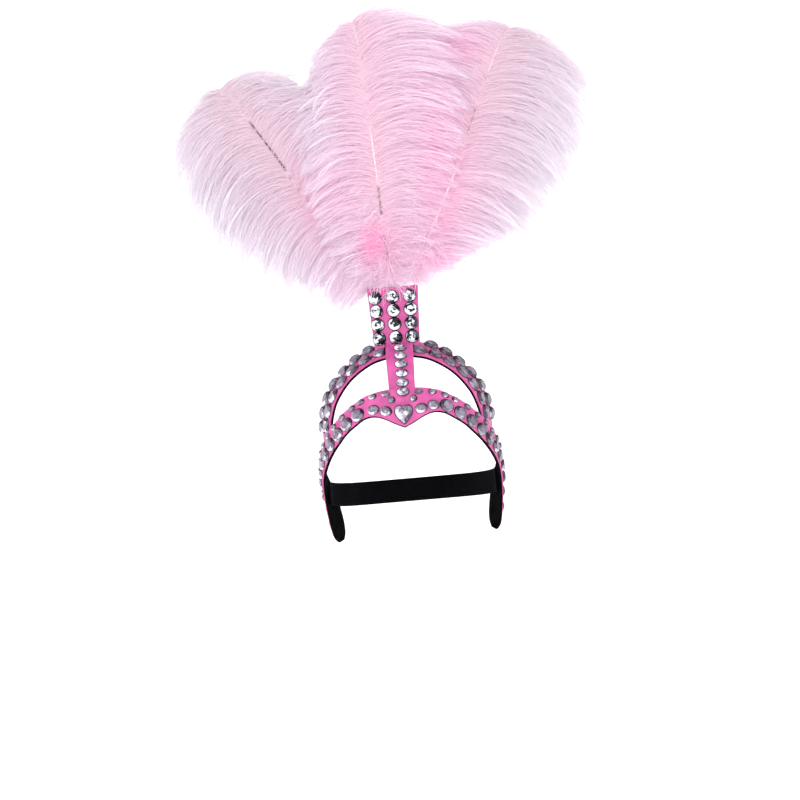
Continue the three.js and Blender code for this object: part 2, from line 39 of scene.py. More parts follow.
# Right edges of the front band and the arch: low bearing, low height, high bearing, high height, inset
FRONT_BAND = [
    (0, 0, 0, 39.5, 0),
    (6, 4.5, 6, 39.5, 0),
    (12.5, 9.8, 12, 39, 0),
    (19.3, 13, 18.5, 37.5, 0),
    (26.5, 11.5, 26, 34.5, 0),
    (34, 5, 34, 28.2, 0),
    (41.4, -2, 42, 21, 0),
    (49, -11, 50, 12, 0),
    (57, -20, 58.5, 3, 0),
    (65, -29.5, 67.5, -7, 0),
    (74, -40, 78, -17, 0),
    (82, -50.5, 90, -29, 0),
    (89, -62, 102, -42, 0),
    (94.5, -73, 112, -56, 0),
    (99, -84, 118, -71, 0),
    (104, -97, 122, -88.5, 0),
    (109, -107, 123, -101.5, 0),
    (115, -112, 121, -109.5, 0),
]
CROWN_ARCH = [
    (0, 72.5, 0, 86.5, 0),
    (15.3, 71, 27.7, 84.5, 0),
    (29.1, 66, 46.5, 78.5, 0),
    (42.7, 53, 59.3, 60.5, 0),
    (51.6, 34, 67.2, 40, 0),
    (57.6, 17, 74, 17, 2.2),
    (63.5, -3, 81, -5, 4.7),
    (68, -19, 85.5, -29, 4.9),
]
# Steps along each half of a board, and across the faces of the boards and of the strap
BAND_STEPS = 90
ARCH_STEPS = 70
FACE_STEPS = 6
STRAP_FACE_STEPS = 8
# Placing on a board: steps along it, and how far ahead and over its directions are taken
PLACING = {"steps": 1001, "ahead": 0.004, "over": 0.05}
# The strap between two heights: where its climb over the arch ends, how far it laps there, how far its cover
# stands proud and laps on the band, its steps, and how much longer it is than it is high
STRAP = {"half_width": 13.3, "start": 39.9, "end": 79.5, "ramp_end": 66.0, "lap": 1.0, "proud": 0.15,
         "cover_lap": 1.0, "cover_margin": 0.2, "steps": 60, "slope": 1.25}
# The plate, and where what it stands on is looked for: how far along the arch, in steps, and beside the strap
PLATE = {"centre": -2.0, "front": -50.5, "top": 140.6, "top_half": 25.5, "bottom_half": 22.5, "backing": 4.4,
         "steps": 26, "seat_reach": 0.4, "seat_steps": 161, "seat_beside": 0.5}
# The plate's cover and board: how far in from the edge, and the rounding
PLATE_COVER_EDGE = (0.3, 0.45)
PLATE_BOARD_EDGE = (0.0, 0.5)
# The plate's rounded top edge: parts of the turn, how fast it narrows in depth, and its rise
TOP_EDGE = {"turns": (0.35, 0.7, 1.0), "narrows": 1.6, "rise": 0.4}

# Fabric covers stop a little short of the boards' lower edges, which show black: low and high margin
BAND_MARGIN = (1.2, 0.1)
ARCH_MARGIN = (0.5, 0.1)
COVER_ENDS = 0.006
EDGE_ROUND = 0.75
FOAM_ROUND = 0.45
# Where a board is narrow, its margins and rounding are at most these shares of its width
NARROW_MARGIN = 0.3
NARROW_ROUND = 0.12

# Stones: length along, width across, rise, and the share of their width that the table takes
SINK = 0.8
OVAL_GIRDLE = 0.5
SHORT_OVAL = (13.0, 10.4, 3.0, 0.66)
BAND_OVAL = (15.8, 13.4, 3.3, 0.68)
ARCH_OVAL = (15.8, 12.2, 3.3, 0.68)
SMALL_OVAL = (9.0, 6.2, 2.2, 0.6)
SIDE_ROUND = (7.6, 7.6, 2.4, 0.6)
# Rows of ovals on both sides: stone, place across the board, count, first distance from the middle, pitch,
# and how much further out the left side's stones sit
BAND_ROWS = [
    (SHORT_OVAL, 0.3, 2, 18.7, 13.4, 0.0),
    (BAND_OVAL, 0.37, 11, 46.0, 16.6, 4.0),
    (SMALL_OVAL, 0.85, 3, 16.5, 13.8, 0.0),
    (SMALL_OVAL, 0.86, 11, 56.0, 15.6, 0.0),
    (SIDE_ROUND, 0.68, 1, 11.0, 0.0, 0.0),
]
ARCH_ROWS = [
    (ARCH_OVAL, 0.36, 7, 20.0, 16.2, 0.0),
    (ARCH_OVAL, 0.9, 7, 32.5, 16.2, 0.0),
]
PLATE_ROUND = {"width": 13.2, "height": 13.2, "girdle": 1.3, "rise": 4.6, "table": 0.55}
STRAP_OVAL = {"width": 12.6, "height": 9.2, "girdle": 1.0, "rise": 3.4, "table": 0.55}
HEART = {"width": 18.0, "height": 20.5, "girdle": 1.4, "rise": 4.4, "table": 0.6,
         "across": 0.38, "round": 0.42}
PLATE_STONES = {"rows": 4, "shift_x": -0.7, "pitch_x": 17.4, "taper_x": 0.3, "pitch_z": 13.6, "top_z": 131.0}
STRAP_HEIGHTS = [35.8, 44.6, 52.8, 60.4, 67.8, 75.0]
STRAP_SHIFT = 1.0
# The cut: outline at the seat and the girdle, folds of the outlines, and where the facets meet
SEAT_RING = 1.07
GIRDLE_RING = 0.95
OVAL_FOLDS = 7
ROUND_FOLDS = 6
HEART_FOLDS = 11
KITE_PLACE = 0.48
KITE_RISE = 0.62
CORE_PLACE = 0.52
# Painted reflections: bright and dark patches in a stone, and their share of a facet's chance
PATCHES = 6
PATCH_SHARE = 0.6
TABLE_KINDS = ("under", "deep", "core")
SIDE_KINDS = ("foot", "girdle")
SIDE_CONTRAST = 0.2
# Painted light: facets that slant to the left and down are painted brighter: shares of x and z
LIT_FROM = (-0.6, -0.7)
# How stones look, in painted light and painted reflections: brightness of each kind of facet, how much it
# varies on the rim and in the table, and how much of that is painted light by slant and painted reflection by
# chance
FACETS = ("foot", "girdle", "upper", "kite", "star", "under", "deep", "core")
FOIL_LOOK = {"base": (0.0, 0.0, 0.34, 0.42, 0.52, 0.47, 0.5, 0.54),
             "rim": 1.0, "table": 0.42, "lit": 0.55, "chance": 0.45}
LILAC_LOOK = {"base": (0.0, 0.1, 0.5, 0.56, 0.6, 0.52, 0.56, 0.62),
              "rim": 1.0, "table": 0.8, "lit": 0.5, "chance": 0.5}
CRYSTAL_LOOK = {"base": (0.0, 0.1, 0.5, 0.52, 0.44, 0.4, 0.42, 0.42),
                "rim": 1.1, "table": 1.2, "lit": 0.32, "chance": 0.8}
# Colours for a facet's painted brightness: near black for painted shade and dark reflections, near white for
# painted highlights
FOIL_STOPS = [
    (0.02, (0.03, 0.006, 0.016)), (0.25, (0.07, 0.05, 0.08)), (0.5, (0.175, 0.15, 0.205)),
    (0.72, (0.32, 0.295, 0.38)), (0.95, (0.9, 0.88, 0.95)),
]
CRYSTAL_STOPS = [
    (0.1, (0.004, 0.006, 0.009)), (0.36, (0.025, 0.04, 0.055)), (0.5, (0.26, 0.29, 0.34)),
    (0.66, (0.95, 0.96, 1.0)),
]
LILAC_STOPS = [
    (0.05, (0.04, 0.02, 0.04)), (0.35, (0.17, 0.15, 0.21)), (0.6, (0.46, 0.43, 0.52)),
    (0.9, (0.95, 0.93, 0.98)),
]

# Elastic round the back of the head
ELASTIC = {"width": 24.0, "thickness": 1.2, "height": -60.0, "nape": -66.0, "steps": 240, "across_steps": 14,
           "selvedge": 0.3}
ELASTIC_HALF = [
    (84.4, 1), (82.8, 11.5), (77.9, 22.5), (68.5, 37), (53, 58), (28, 76), (0, 82),
]

# Plumes: shaft points, rows of place on the shaft, barb length, angle and droop on either side, lean of the
# vane, and the stretches where the shaft shows between the barbs with painted shade and where it shows pale,
# and how much
PLUMES = {
    "plume_left": {
        "shaft": [
            (-9.5, -47, 108), (-13.5, -47, 140), (-40, -44, 187), (-80, -42, 237),
            (-106, -40, 280), (-129, -34, 316.5), (-144, -24, 341), (-158, -8, 356),
        ],
        "left": [
            (0.14, 42, 96, 22), (0.30, 64, 80, 45), (0.45, 88, 66, 72), (0.60, 104, 60, 90),
            (0.78, 108, 58, 96), (0.90, 94, 48, 88), (1.00, 72, 22, 76),
        ],
        "right": [
            (0.22, 40, 55, 40), (0.40, 58, 56, 48), (0.60, 76, 60, 54),
            (0.80, 80, 68, 64), (0.92, 75, 84, 76), (1.00, 70, 97, 70),
        ],
        "lean": 1,
        "painted_shade": [(0.483, 0.505, 0.9), (0.531, 0.548, 0.9), (0.581, 0.598, 1.0), (0.612, 0.828, 1.0)],
        "pale": [],
    },
    "plume_centre": {
        "shaft": [
            (-2.5, -47, 102), (-2.5, -47, 140), (-5.5, -50, 186), (-7.4, -51, 246.7),
            (-10.2, -50, 303), (-13, -45, 352), (-15.3, -37, 386), (-19.4, -22, 409.6),
        ],
        "left": [
            (0.16, 36, 80, 26), (0.30, 60, 68, 56), (0.50, 78, 60, 80), (0.70, 80, 54, 94),
            (0.84, 64, 47, 100), (0.93, 52, 44, 100), (1.00, 36, 44, 92),
        ],
        "right": [
            (0.16, 36, 80, 26), (0.30, 60, 68, 54), (0.50, 84, 61, 70), (0.70, 98, 60, 73),
            (0.84, 102, 57, 70), (0.93, 100, 57, 69), (1.00, 94, 57, 66),
        ],
        "lean": 0,
        "painted_shade": [(0.209, 0.292, 1.0), (0.349, 0.453, 0.9)],
        "pale": [(0.129, 0.196, 0.9), (0.46, 0.63, 0.85), (0.892, 1.0, 0.85)],
    },
    "plume_right": {
        "shaft": [
            (9.5, -47, 108), (20, -47, 140), (43.5, -51, 196), (71.4, -47, 252.7),
            (91, -38, 299), (109.4, -26, 341.9), (123.2, -15, 372.3), (136.8, -3, 391.6),
        ],
        "left": [
            (0.22, 34, 55, 40), (0.40, 52, 54, 50), (0.60, 66, 58, 56),
            (0.80, 68, 64, 58), (0.92, 64, 74, 60), (1.00, 58, 98, 42),
        ],
        "right": [
            (0.16, 32, 66, 12), (0.28, 64, 68, 30), (0.42, 93, 66, 54), (0.58, 113, 60, 74),
            (0.75, 121, 54, 86), (0.88, 111, 46, 82), (1.00, 90, 45, 70),
        ],
        "lean": 3,
        "painted_shade": [(0.612, 0.708, 0.75), (0.799, 0.816, 0.6)],
        "pale": [(0.242, 0.505, 1.0), (0.827, 0.985, 0.8)],
    },
}
# Shafts: radii, points of the line, rings and sides of the tube, depth and width of its groove, and how
# softly its stretches of painted shade and its pale stretches start and end
SHAFT = {"root_radius": 1.4, "tip_radius": 0.5, "points": 600, "rings": 300, "sides": 12, "groove": 0.16,
         "groove_width": 0.35, "starts": (-0.008, 0.012), "ends": (-0.02, 0.008)}
# Layers of barbs: clumps a side, strands in each, lean added to the back, share of the rows' length, spread
# and wander of the barbs, where along them clumps close, and how many barbs of down and over the shaft
LAYERS = {
    "barbs": {"clumps": 98, "strands": 44, "lean": 0, "reach": 1.08, "loose": 0.8, "closing": (0.7, 1.0),
              "wander": 1.0, "down": 560, "cover": 1000},
    "under": {"clumps": 42, "strands": 48, "lean": 10, "reach": 1.0, "loose": 1.3, "closing": (0.7, 1.0),
              "wander": 1.0, "down": 420, "cover": 0},
}
# Thin wisps over the barbs, tight along their whole length, and how much paler they are painted: a painted
# highlight
WISPS = {"clumps": 62, "strands": 7, "lean": -7, "reach": 1.04, "loose": 1.4,
         "closing": (0.0, 0.25), "wander": 0.2}
WISP_HIGHLIGHT = (0.8, 1.0)
WISP_HIGHLIGHT_SPAN = (0.4, 0.7)
TIP_SHADE = 0.8
STRAND_STEPS = 9
# A barb's width at places along it, how it rolls from the vane's face, and how far behind the shaft it is
BARB_WIDTHS = ((0.0, 0.52), (0.6, 0.48), (1.0, 0.26))
BARB_ROLLS = (0.7, 0.6)
BARB_BACK = 0.9
# Spread of clumps and of barbs in them: angle, share of the droop, and turn out of the vane
CLUMP_SPREAD = (2.2, 0.05, 6.0)
BARB_SPREAD = (4.0, 0.08, 11.0)
CLUMP_REACH = (0.84, 1.06)
CLUMP_HOLD = (0.75, 0.96)
# How far barbs are from their clump, in pitches, how much lengths vary, how many are short and by what share
BARB_SCATTER = 1.3
LENGTH_SPREAD = 0.045
SHORT_SHARE = 0.3
SHORT_LENGTHS = (0.35, 0.95)
# The tuft at the tip: where it starts, how its barbs turn inwards, and how much shorter those are
TUFT = {"start": 0.95, "inward": 0.4, "least": 0.15, "fall": 3.5}
# Slow and quick waves of a barb: length and size
WAVES = ((46.0, 0.9), (17.0, 0.35))
# Barbs over the shaft: stretch, shares of the angle, turn out of the vane, shares of the length and droop,
# how far in front of the shaft they lie and before it they start, and how far a bare stretch thins them
COVER = {"from": 0.13, "to": 0.99, "angle": (0.6, 1.05), "turn": (-4, 4), "length": (0.3, 0.7), "droop": 0.6,
         "front": (2.3, 3.4), "start": (2, 7), "thins": 0.9}
# Down round the lower shaft: stretch, angle, flatness, length and how it grows along the shaft, droop, wander
DOWN = {"from": 0.115, "to": 0.28, "angle": (40, 105), "flat": 0.6, "length": (16, 38), "least": 0.3,
        "growth": 0.4 / 0.13, "droop": (20, 90), "wander": 1.6, "shade": 0.6}
# Where the pink is deeper: middle x and z, half-width, half-height and strength
DEEPER_PINK_SPOTS = [
    (54, 254, 26, 110, 0.42), (-17, 185, 14, 21, 1.0), (42, 163, 24, 16, 0.5), (86, 375, 26, 22, 0.4),
    (-52, 235, 34, 40, 0.25), (10, 180, 50, 40, 0.25),
]
PHOTO_TILT = 0.087
# The outer parts of the side plumes are a little cooler: the middle, and how far out this starts and is full
COOL = {"middle": 15, "from": 50, "full": 150}

# Camera: where it stands, how it is turned and rolled, and its lens, sensor and range in metres
CAMERA = {"right": -5.57, "back": 3040.0, "height": 27.78, "yaw": 1.8, "roll": 5.0, "lens": 135.0,
          "sensor": 36, "range": (0.05, 60)}
# Stage: height, radius, the shares of it that are flat, curve up and stand, points of the curve, and sides
STAGE = {"height": -410.0, "radius": 9000.0, "flat": 0.6, "curve": 0.4, "wall": 0.8, "turns": 12, "sides": 96}
# Lights: name, place and aim in metres, size and power
LIGHTS = [
    ("key", (-1.2, -2.4, 1.6), (0, 0, 0.2), 2.4, 19),
    ("fill", (2.0, -1.8, 0.7), (0, 0, 0.15), 2.0, 8),
    ("back", (0.6, 2.2, 1.6), (0, 0, 0.25), 1.8, 14),
]
SKY_STRENGTH = 0.55


# Curves and surfaces, in millimetres

def hermite(start, end, leaving, arriving, part):
    square = part * part
    cube = square * part
    return (
        (2 * cube - 3 * square + 1) * start + (cube - 2 * square + part) * leaving
        + (3 * square - 2 * cube) * end + (cube - square) * arriving
    )


def split(place, segments):
    """The segment that each place on a line of segments is in, and how far along that it is."""
    index = np.minimum(np.asarray(place).astype(int), segments - 1)
    return index, place - index


def spline(points, at):
    """A uniform Catmull-Rom curve with its end points doubled, at shares of its rows."""
    points = np.asarray(points, float)
    last = len(points) - 1
    index, part = split(np.clip(np.asarray(at, float), 0, 1) * last, last)
    before = points[np.maximum(index - 1, 0)]
    start = points[index]
    end = points[index + 1]
    after = points[np.minimum(index + 2, last)]
    return hermite(start, end, (end - before) / 2, (after - start) / 2, part[..., None])


def with_ends(points):
    """Points with one more at each end, mirrored, and how many segments the curve through them has."""
    points = np.array(points, float)
    points = np.vstack([2 * points[0] - points[1], points, 2 * points[-1] - points[-2]])
    return points, len(points) - 3


def centripetal(points, count):
    """A centripetal Catmull-Rom curve."""
    points, segments = with_ends(points)
    line = []
    for place in np.linspace(0, segments, count):
        index, part = split(place, segments)
        a, b, c, d = points[index:index + 4]
        ab, bc, cd = (np.linalg.norm(step) ** 0.5 for step in (b - a, c - b, d - c))
        leaving = ((b - a) / ab - (c - a) / (ab + bc) + (c - b) / bc) * bc
        arriving = ((c - b) / bc - (d - b) / (bc + cd) + (d - c) / cd) * bc
        line.append(hermite(b, c, leaving, arriving, part))
    return np.array(line)


def distance_along(line):
    """How far along a line each of its points lies."""
    return np.concatenate([[0], np.cumsum(np.linalg.norm(np.diff(line, axis=0), axis=1))])


def smoothstep(low, high, value):
    part = np.clip((value - low) / (high - low), 0, 1)
    return part * part * (3 - 2 * part)


def unit(vectors):
    return vectors / np.maximum(np.linalg.norm(vectors, axis=-1, keepdims=True), 1e-9)


def dome(bearing, height, offset):
    """A point on the head form, moved outwards by an offset from the inner face of the frame."""
    bearing, height, offset = np.broadcast_arrays(bearing, height, offset)
    raised = np.maximum(height, 0)
    lift = np.arcsin(np.minimum(raised / (HEAD["crown"] + BOARD), 1))
    turn = np.radians(bearing)
    depth = np.where(np.abs(bearing) < 90, HEAD["front"], HEAD["tab_rear"])
    return np.stack([
        (HEAD["half_width"] + offset) * np.cos(lift) * np.sin(turn),
        -(depth + offset) * np.cos(lift) * np.cos(turn),
        np.where(height > 0, (HEAD["crown"] + offset) * np.sin(lift), height),
    ], -1)


def board_surface(rows):
    """A surface that is straight across a board: along -1 to 1, across 0 to 1."""
    rows = np.asarray(rows, float)

    def surface(along, across, offset):
        along, across, offset = np.broadcast_arrays(along, across, offset)
        edge = spline(rows, np.abs(along))
        side = np.where(along < 0, -1.0, 1.0)
        level = offset - edge[..., 4]
        low = dome(side * edge[..., 0], edge[..., 1], level)
        high = dome(side * edge[..., 2], edge[..., 3], level)
        return low + (high - low) * across[..., None]

    return surface


band_surface = board_surface(FRONT_BAND)
arch_surface = board_surface(CROWN_ARCH)


def place_on(surface, across, distance, offset):
    """Where a stone sits on a board at a distance from its middle: its three directions and its seat."""
    along = np.linspace(0, 1, PLACING["steps"]) * (-1 if distance < 0 else 1)
    at = np.interp(abs(distance), distance_along(surface(along, across, offset)), along)
    step, side = PLACING["ahead"], PLACING["over"]
    ahead = surface(at + step, across, offset) - surface(at - step, across, offset)
    over = surface(at, across + side, offset) - surface(at, across - side, offset)
    x_axis = unit(ahead)
    z_axis = unit(np.cross(x_axis, over))
    return np.stack([x_axis, np.cross(z_axis, x_axis), z_axis]), surface(at, across, offset)


def strap_point(height, x, offset):
    """The strap's surface at a height: it climbs from the band's level to lie on the arch."""
    height, x, offset = np.broadcast_arrays(np.asarray(height, float), x, offset)
    climb = smoothstep(STRAP["start"], STRAP["ramp_end"], height) * (BOARD + STRAP["lap"])
    lift = np.arcsin(height / (HEAD["crown"] + BOARD))
    bearing = np.degrees(np.arcsin(x / ((HEAD["half_width"] + BOARD) * np.cos(lift))))
    return dome(bearing, height, offset + climb)


def seat_height(x, y):
    """The top of what the plate stands on, under a point of it."""
    along = np.linspace(-PLATE["seat_reach"], PLATE["seat_reach"], PLATE["seat_steps"])
    low = arch_surface(along, 0.0, BOARD + GAP)
    high = arch_surface(along, 1.0, BOARD + GAP)
    share = (y - low[:, 1]) / (high[:, 1] - low[:, 1])
    line = low + (high - low) * share[:, None]
    top = np.interp(x, line[:, 0], line[:, 2])
    half = STRAP["half_width"]
    if abs(x) <= half + PLATE["seat_beside"]:
        heights = np.linspace(STRAP["ramp_end"], STRAP["end"], STRAP["steps"])
        middle = strap_point(heights, np.clip(x, -half, half), BOARD + GAP)
        top = max(top, np.interp(y, middle[:, 1], middle[:, 2]))
    return top


# Mesh making

def link_object(name, mesh):
    made = bpy.data.objects.new(name, mesh)
    bpy.context.scene.collection.objects.link(made)
    return made


def add_values(mesh, name, values, kind="FLOAT", field="value"):
    made = mesh.attributes.new(name, kind, "POINT")
    made.data.foreach_set(field, np.asarray(values, np.float32).ravel())


def quad_mesh(name, vertices, quads):
    """A mesh from arrays of vertices in millimetres and of quads."""
    mesh = bpy.data.meshes.new(name)
    mesh.vertices.add(len(vertices))
    mesh.vertices.foreach_set("co", (vertices * MM).astype(np.float32).ravel())
    mesh.loops.add(quads.size)
    mesh.loops.foreach_set("vertex_index", quads.astype(np.int32).ravel())
    mesh.polygons.add(len(quads))
    mesh.polygons.foreach_set("loop_start", np.arange(0, quads.size, 4, dtype=np.int32))
    mesh.update(calc_edges=True)
    mesh.validate()
    return mesh


def ring_faces(rings, sides):
    """Quads between rings of points."""
    faces = []
    for ring in range(rings - 1):
        for side in range(sides):
            a = ring * sides + side
            b = ring * sides + (side + 1) % sides
            faces.append((a, b, b + sides, a + sides))
    return faces


def signed_volume(mesh):
    mesh.calc_loop_triangles()
    corners = np.empty(len(mesh.loop_triangles) * 3, np.int32)
    mesh.loop_triangles.foreach_get("vertices", corners)
    points = np.empty(len(mesh.vertices) * 3, np.float32)
    mesh.vertices.foreach_get("co", points)
    a, b, c = points.reshape(-1, 3)[corners.reshape(-1, 3)].transpose(1, 0, 2)
    return float(np.sum(a * np.cross(b, c)))


def loft(name, rings, *cloth):
    """A closed solid through rings of points, with three cloth coordinates in millimetres over them."""
    count, sides = rings.shape[:2]
    faces = ring_faces(count, sides)
    faces.append(tuple(reversed(range(sides))))
    faces.append(tuple(range((count - 1) * sides, count * sides)))
    mesh = bpy.data.meshes.new(name)
    mesh.from_pydata((rings.reshape(-1, 3) * MM).tolist(), [], faces)
    coordinates = np.stack([np.broadcast_to(values, (count, sides)) for values in cloth], -1)
    add_values(mesh, "cloth", coordinates, "FLOAT_VECTOR", "vector")
    mesh.update()
    if signed_volume(mesh) < 0:
        mesh.flip_normals()
    mesh.shade_smooth()
    mesh.set_sharp_from_angle(angle=math.radians(40))
    return link_object(name, mesh)


def rounded_profile(low, high, inner, outer, rounding, divisions):
    """A board's cut as (distance across, offset) pairs: round outer corners, divided face, flat back."""
    arc = np.linspace(0, np.pi / 2, 5)
    shares = np.linspace(0, 1, divisions + 1)[1:-1]
    side = [(low, inner), (low, (inner + outer - rounding) / 2)]
    corner = [(low + rounding * (1 - math.cos(a)), outer - rounding * (1 - math.sin(a))) for a in arc]
    face = [(low + rounding + (high - low - 2 * rounding) * share, outer) for share in shares]
    other = [(low + high - across, offset) for across, offset in reversed(side + corner)]
    back = [(high - (high - low) * share, inner) for share in shares]
    return np.array(side + corner + face + other + back)


def board(name, surface, steps, inner, outer, margins, rounding, ends=0.0):
    """A board or its cover in many fine steps, between two offsets, its ends drawn in by a share."""
    alongs = np.linspace(-1 + ends, 1 - ends, 2 * steps + 1)
    edges = surface(alongs[:, None], np.array([[0.0, 1.0]]), outer)
    widths = np.linalg.norm(edges[:, 1] - edges[:, 0], axis=1)
    profiles = []
    for width in widths:
        low, high = (min(margin, width * NARROW_MARGIN) for margin in margins)
        corner = min(rounding, width * NARROW_ROUND)
        profiles.append(rounded_profile(low, width - high, inner, outer, corner, FACE_STEPS))
    across, offsets = np.moveaxis(np.array(profiles), -1, 0)
    rings = surface(alongs[:, None], across / widths[:, None], offsets)
    travelled = distance_along(edges.mean(axis=1))
    return loft(name, rings, travelled[:, None], across - widths[:, None] / 2, offsets)


# Frame pieces

def make_band():
    backing = board("band_board", band_surface, BAND_STEPS, 0.0, BACKING, (0.0, 0.0), FOAM_ROUND)
    cover = board("band_cover", band_surface, BAND_STEPS, COVER_BACK, BOARD,
                  BAND_MARGIN, EDGE_ROUND, COVER_ENDS)
    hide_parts("front_band_backing")
    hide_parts("front_band_facing")
    return backing, cover


def make_arch():
    backing = board("arch_board", arch_surface, ARCH_STEPS, 0.0, BACKING, (0.0, 0.0), FOAM_ROUND)
    cover = board("arch_cover", arch_surface, ARCH_STEPS, COVER_BACK, BOARD,
                  ARCH_MARGIN, EDGE_ROUND, COVER_ENDS)
    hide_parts("crown_arch_backing")
    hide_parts("crown_arch_facing")
    return backing, cover


def strap_piece(name, inner, outer, margin, rounding, lap):
    heights = np.linspace(STRAP["start"] - lap, STRAP["end"], STRAP["steps"])
    width = 2 * STRAP["half_width"]
    profile = rounded_profile(margin, width - margin, inner, outer, rounding, STRAP_FACE_STEPS)
    across = profile[:, 0] - width / 2
    rings = np.array([strap_point(height, across, profile[:, 1]) for height in heights])
    return loft(name, rings, across, heights[:, None] * STRAP["slope"], profile[:, 1])


def make_strap():
    backing = strap_piece("strap_board", 0.0, BACKING, 0.0, FOAM_ROUND, 0.0)
    outer = BOARD + STRAP["proud"]
    cover = strap_piece("strap_cover", COVER_BACK, outer,
                        STRAP["cover_margin"], EDGE_ROUND, STRAP["cover_lap"])
    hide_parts("strap_backing")
    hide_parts("strap_facing")
    return backing, cover


def plate_outline(share, front, back, margin, rounding):
    """The plate's cut at a share of its height: round corners in front and a flat back."""
    half = PLATE["bottom_half"] + (PLATE["top_half"] - PLATE["bottom_half"]) * share - margin
    arc = np.linspace(np.pi / 2, 0, 4)
    shares = np.linspace(0, 1, PLATE["steps"] + 1)
    left = [(-half + rounding * (1 - math.sin(a)), front + rounding * (1 - math.cos(a))) for a in arc]
    face = [(-half + rounding + 2 * (half - rounding) * place, front) for place in shares[1:-1]]
    right = [(-x, y) for x, y in reversed(left)]
    rear = [(half - 2 * half * place, back) for place in shares]
    return np.array(left + face + right + rear) + np.array([PLATE["centre"], 0])


def plate_piece(name, front, back, edge):
    """The plate's board or cover: its foot follows the arch and the strap, and its top edge is rounded."""
    margin, rounding = edge
    top = PLATE["top"] - margin
    rings = []
    for share in np.linspace(0, 1, PLATE["steps"] + 1):
        x, y = plate_outline(share, front, back, margin, rounding).T
        foot = np.array([seat_height(*point) for point in zip(x, y)])
        rings.append(np.stack([x, y, foot + (top - foot) * share], -1))
    centre = np.array([PLATE["centre"], (front + back) / 2, 0])
    from_centre = rings[-1] - centre
    for turn in TOP_EDGE["turns"]:
        shrink = rounding * turn
        narrower = 1 - TOP_EDGE["narrows"] * shrink / (back - front)
        ring = centre + from_centre * np.array([1 - shrink / PLATE["top_half"], narrower, 1])
        ring[:, 2] = top + rounding * math.sin(turn * math.pi / 2) * TOP_EDGE["rise"]
        rings.append(ring)
    rings = np.array(rings)
    return loft(name, rings, rings[..., 0] - PLATE["centre"], rings[..., 2], rings[..., 1])


def make_plate():
    rear = PLATE["front"] + FACING + GAP
    cover = plate_piece("plate_cover", PLATE["front"], PLATE["front"] + FACING, PLATE_COVER_EDGE)
    backing = plate_piece("plate_board", rear, rear + PLATE["backing"], PLATE_BOARD_EDGE)
    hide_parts("plate_facing")
    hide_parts("plate_backing")
    return backing, cover


def elastic_profile():
    """The elastic's cut as (across, offset) pairs, thinner at its selvedges."""
    half = ELASTIC["width"] / 2
    thick = ELASTIC["thickness"] / 2
    inside = half - ELASTIC["selvedge"]
    outer = [(across, thick) for across in np.linspace(-inside, inside, ELASTIC["across_steps"])]
    outer += [(half, thick / 2), (half, -thick / 2)]
    return np.array(outer + [(-across, -offset) for across, offset in outer])


def make_elastic():
    """The elastic from tab to tab round the back of the head, lowest at the nape."""
    right = [np.array([x, y, 0.0]) for x, y in ELASTIC_HALF]
    left = [point * np.array([-1, 1, 1]) for point in reversed(right[:-1])]
    line = centripetal(right + left, ELASTIC["steps"] + 1)
    ahead = unit(np.gradient(line, axis=0))
    normal = np.stack([ahead[:, 1], -ahead[:, 0], np.zeros(len(line))], -1)
    sag = np.sin(np.pi * np.linspace(0, 1, len(line)))
    middle = ELASTIC["height"] + (ELASTIC["nape"] - ELASTIC["height"]) * sag
    profile = elastic_profile()
    rings = line[:, None, :] + normal[:, None, :] * profile[None, :, 1:2]
    rings[..., 2] = middle[:, None] + profile[None, :, 0]
    made = loft("elastic_web", rings, distance_along(line)[:, None], profile[:, 0], profile[:, 1])
    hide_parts("elastic_strap")
    return made


# Cut stones

def ellipse(turn):
    return math.cos(turn * 2 * math.pi), math.sin(turn * 2 * math.pi)


def heart_outline(turn):
    """A heart, mixed with a circle to make it rounder."""
    angle = turn * 2 * math.pi
    x = math.sin(angle) ** 3
    y = sum(size * math.cos(times * angle) for times, size in ((1, 13), (2, -5), (3, -2), (4, -1))) / 14.5
    part = HEART["round"]
    return -x * (1 - part) - math.sin(angle) * part, y * (1 - part) + math.cos(angle) * part


def cut_stone(outline, folds, half_x, half_y, foot, girdle, rise, table, twist=0.0):
    """A brilliant cut: foot, girdle, upper girdle facets, kites, stars, and a table with facets under it."""
    ends = 2 * folds

    def place(index, scale, z):
        x, y = outline((index + twist) / ends)
        return (x * half_x * scale, y * half_y * scale, z)

    middle = 1 - (1 - table) * KITE_PLACE
    shoulder = girdle + (rise - girdle) * KITE_RISE
    vertices = [place(k, SEAT_RING, foot) for k in range(ends)]
    vertices += [place(k, GIRDLE_RING, girdle) for k in range(ends)]
    vertices += [place(2 * k + 1, middle, shoulder) for k in range(folds)]
    vertices += [place(2 * k, table, rise) for k in range(folds)]
    vertices += [place(2 * k + 1, table * CORE_PLACE, rise) for k in range(folds)]
    vertices.append(place(0, 0.0, rise))
    rim, mid, top, inner, core = ends, 2 * ends, 5 * folds, 6 * folds, 7 * folds
    faces = [tuple(reversed(range(ends)))] + ring_faces(2, ends)
    kinds = ["foot"] + ["girdle"] * ends
    for k in range(folds):
        edge = rim + 2 * k
        before = (k - 1) % folds
        after = (k + 1) % folds
        faces += [
            (edge, edge + 1, mid + k),
            (edge + 1, rim + (2 * k + 2) % ends, mid + k),
            (top + k, mid + before, edge, mid + k),
            (top + k, mid + k, top + after),
            (top + k, top + after, inner + k),
            (inner + before, top + k, inner + k),
            (inner + before, inner + k, core),
        ]
        kinds += ["upper", "upper", "kite", "star", "under", "deep", "core"]
    return np.array(vertices), faces, kinds


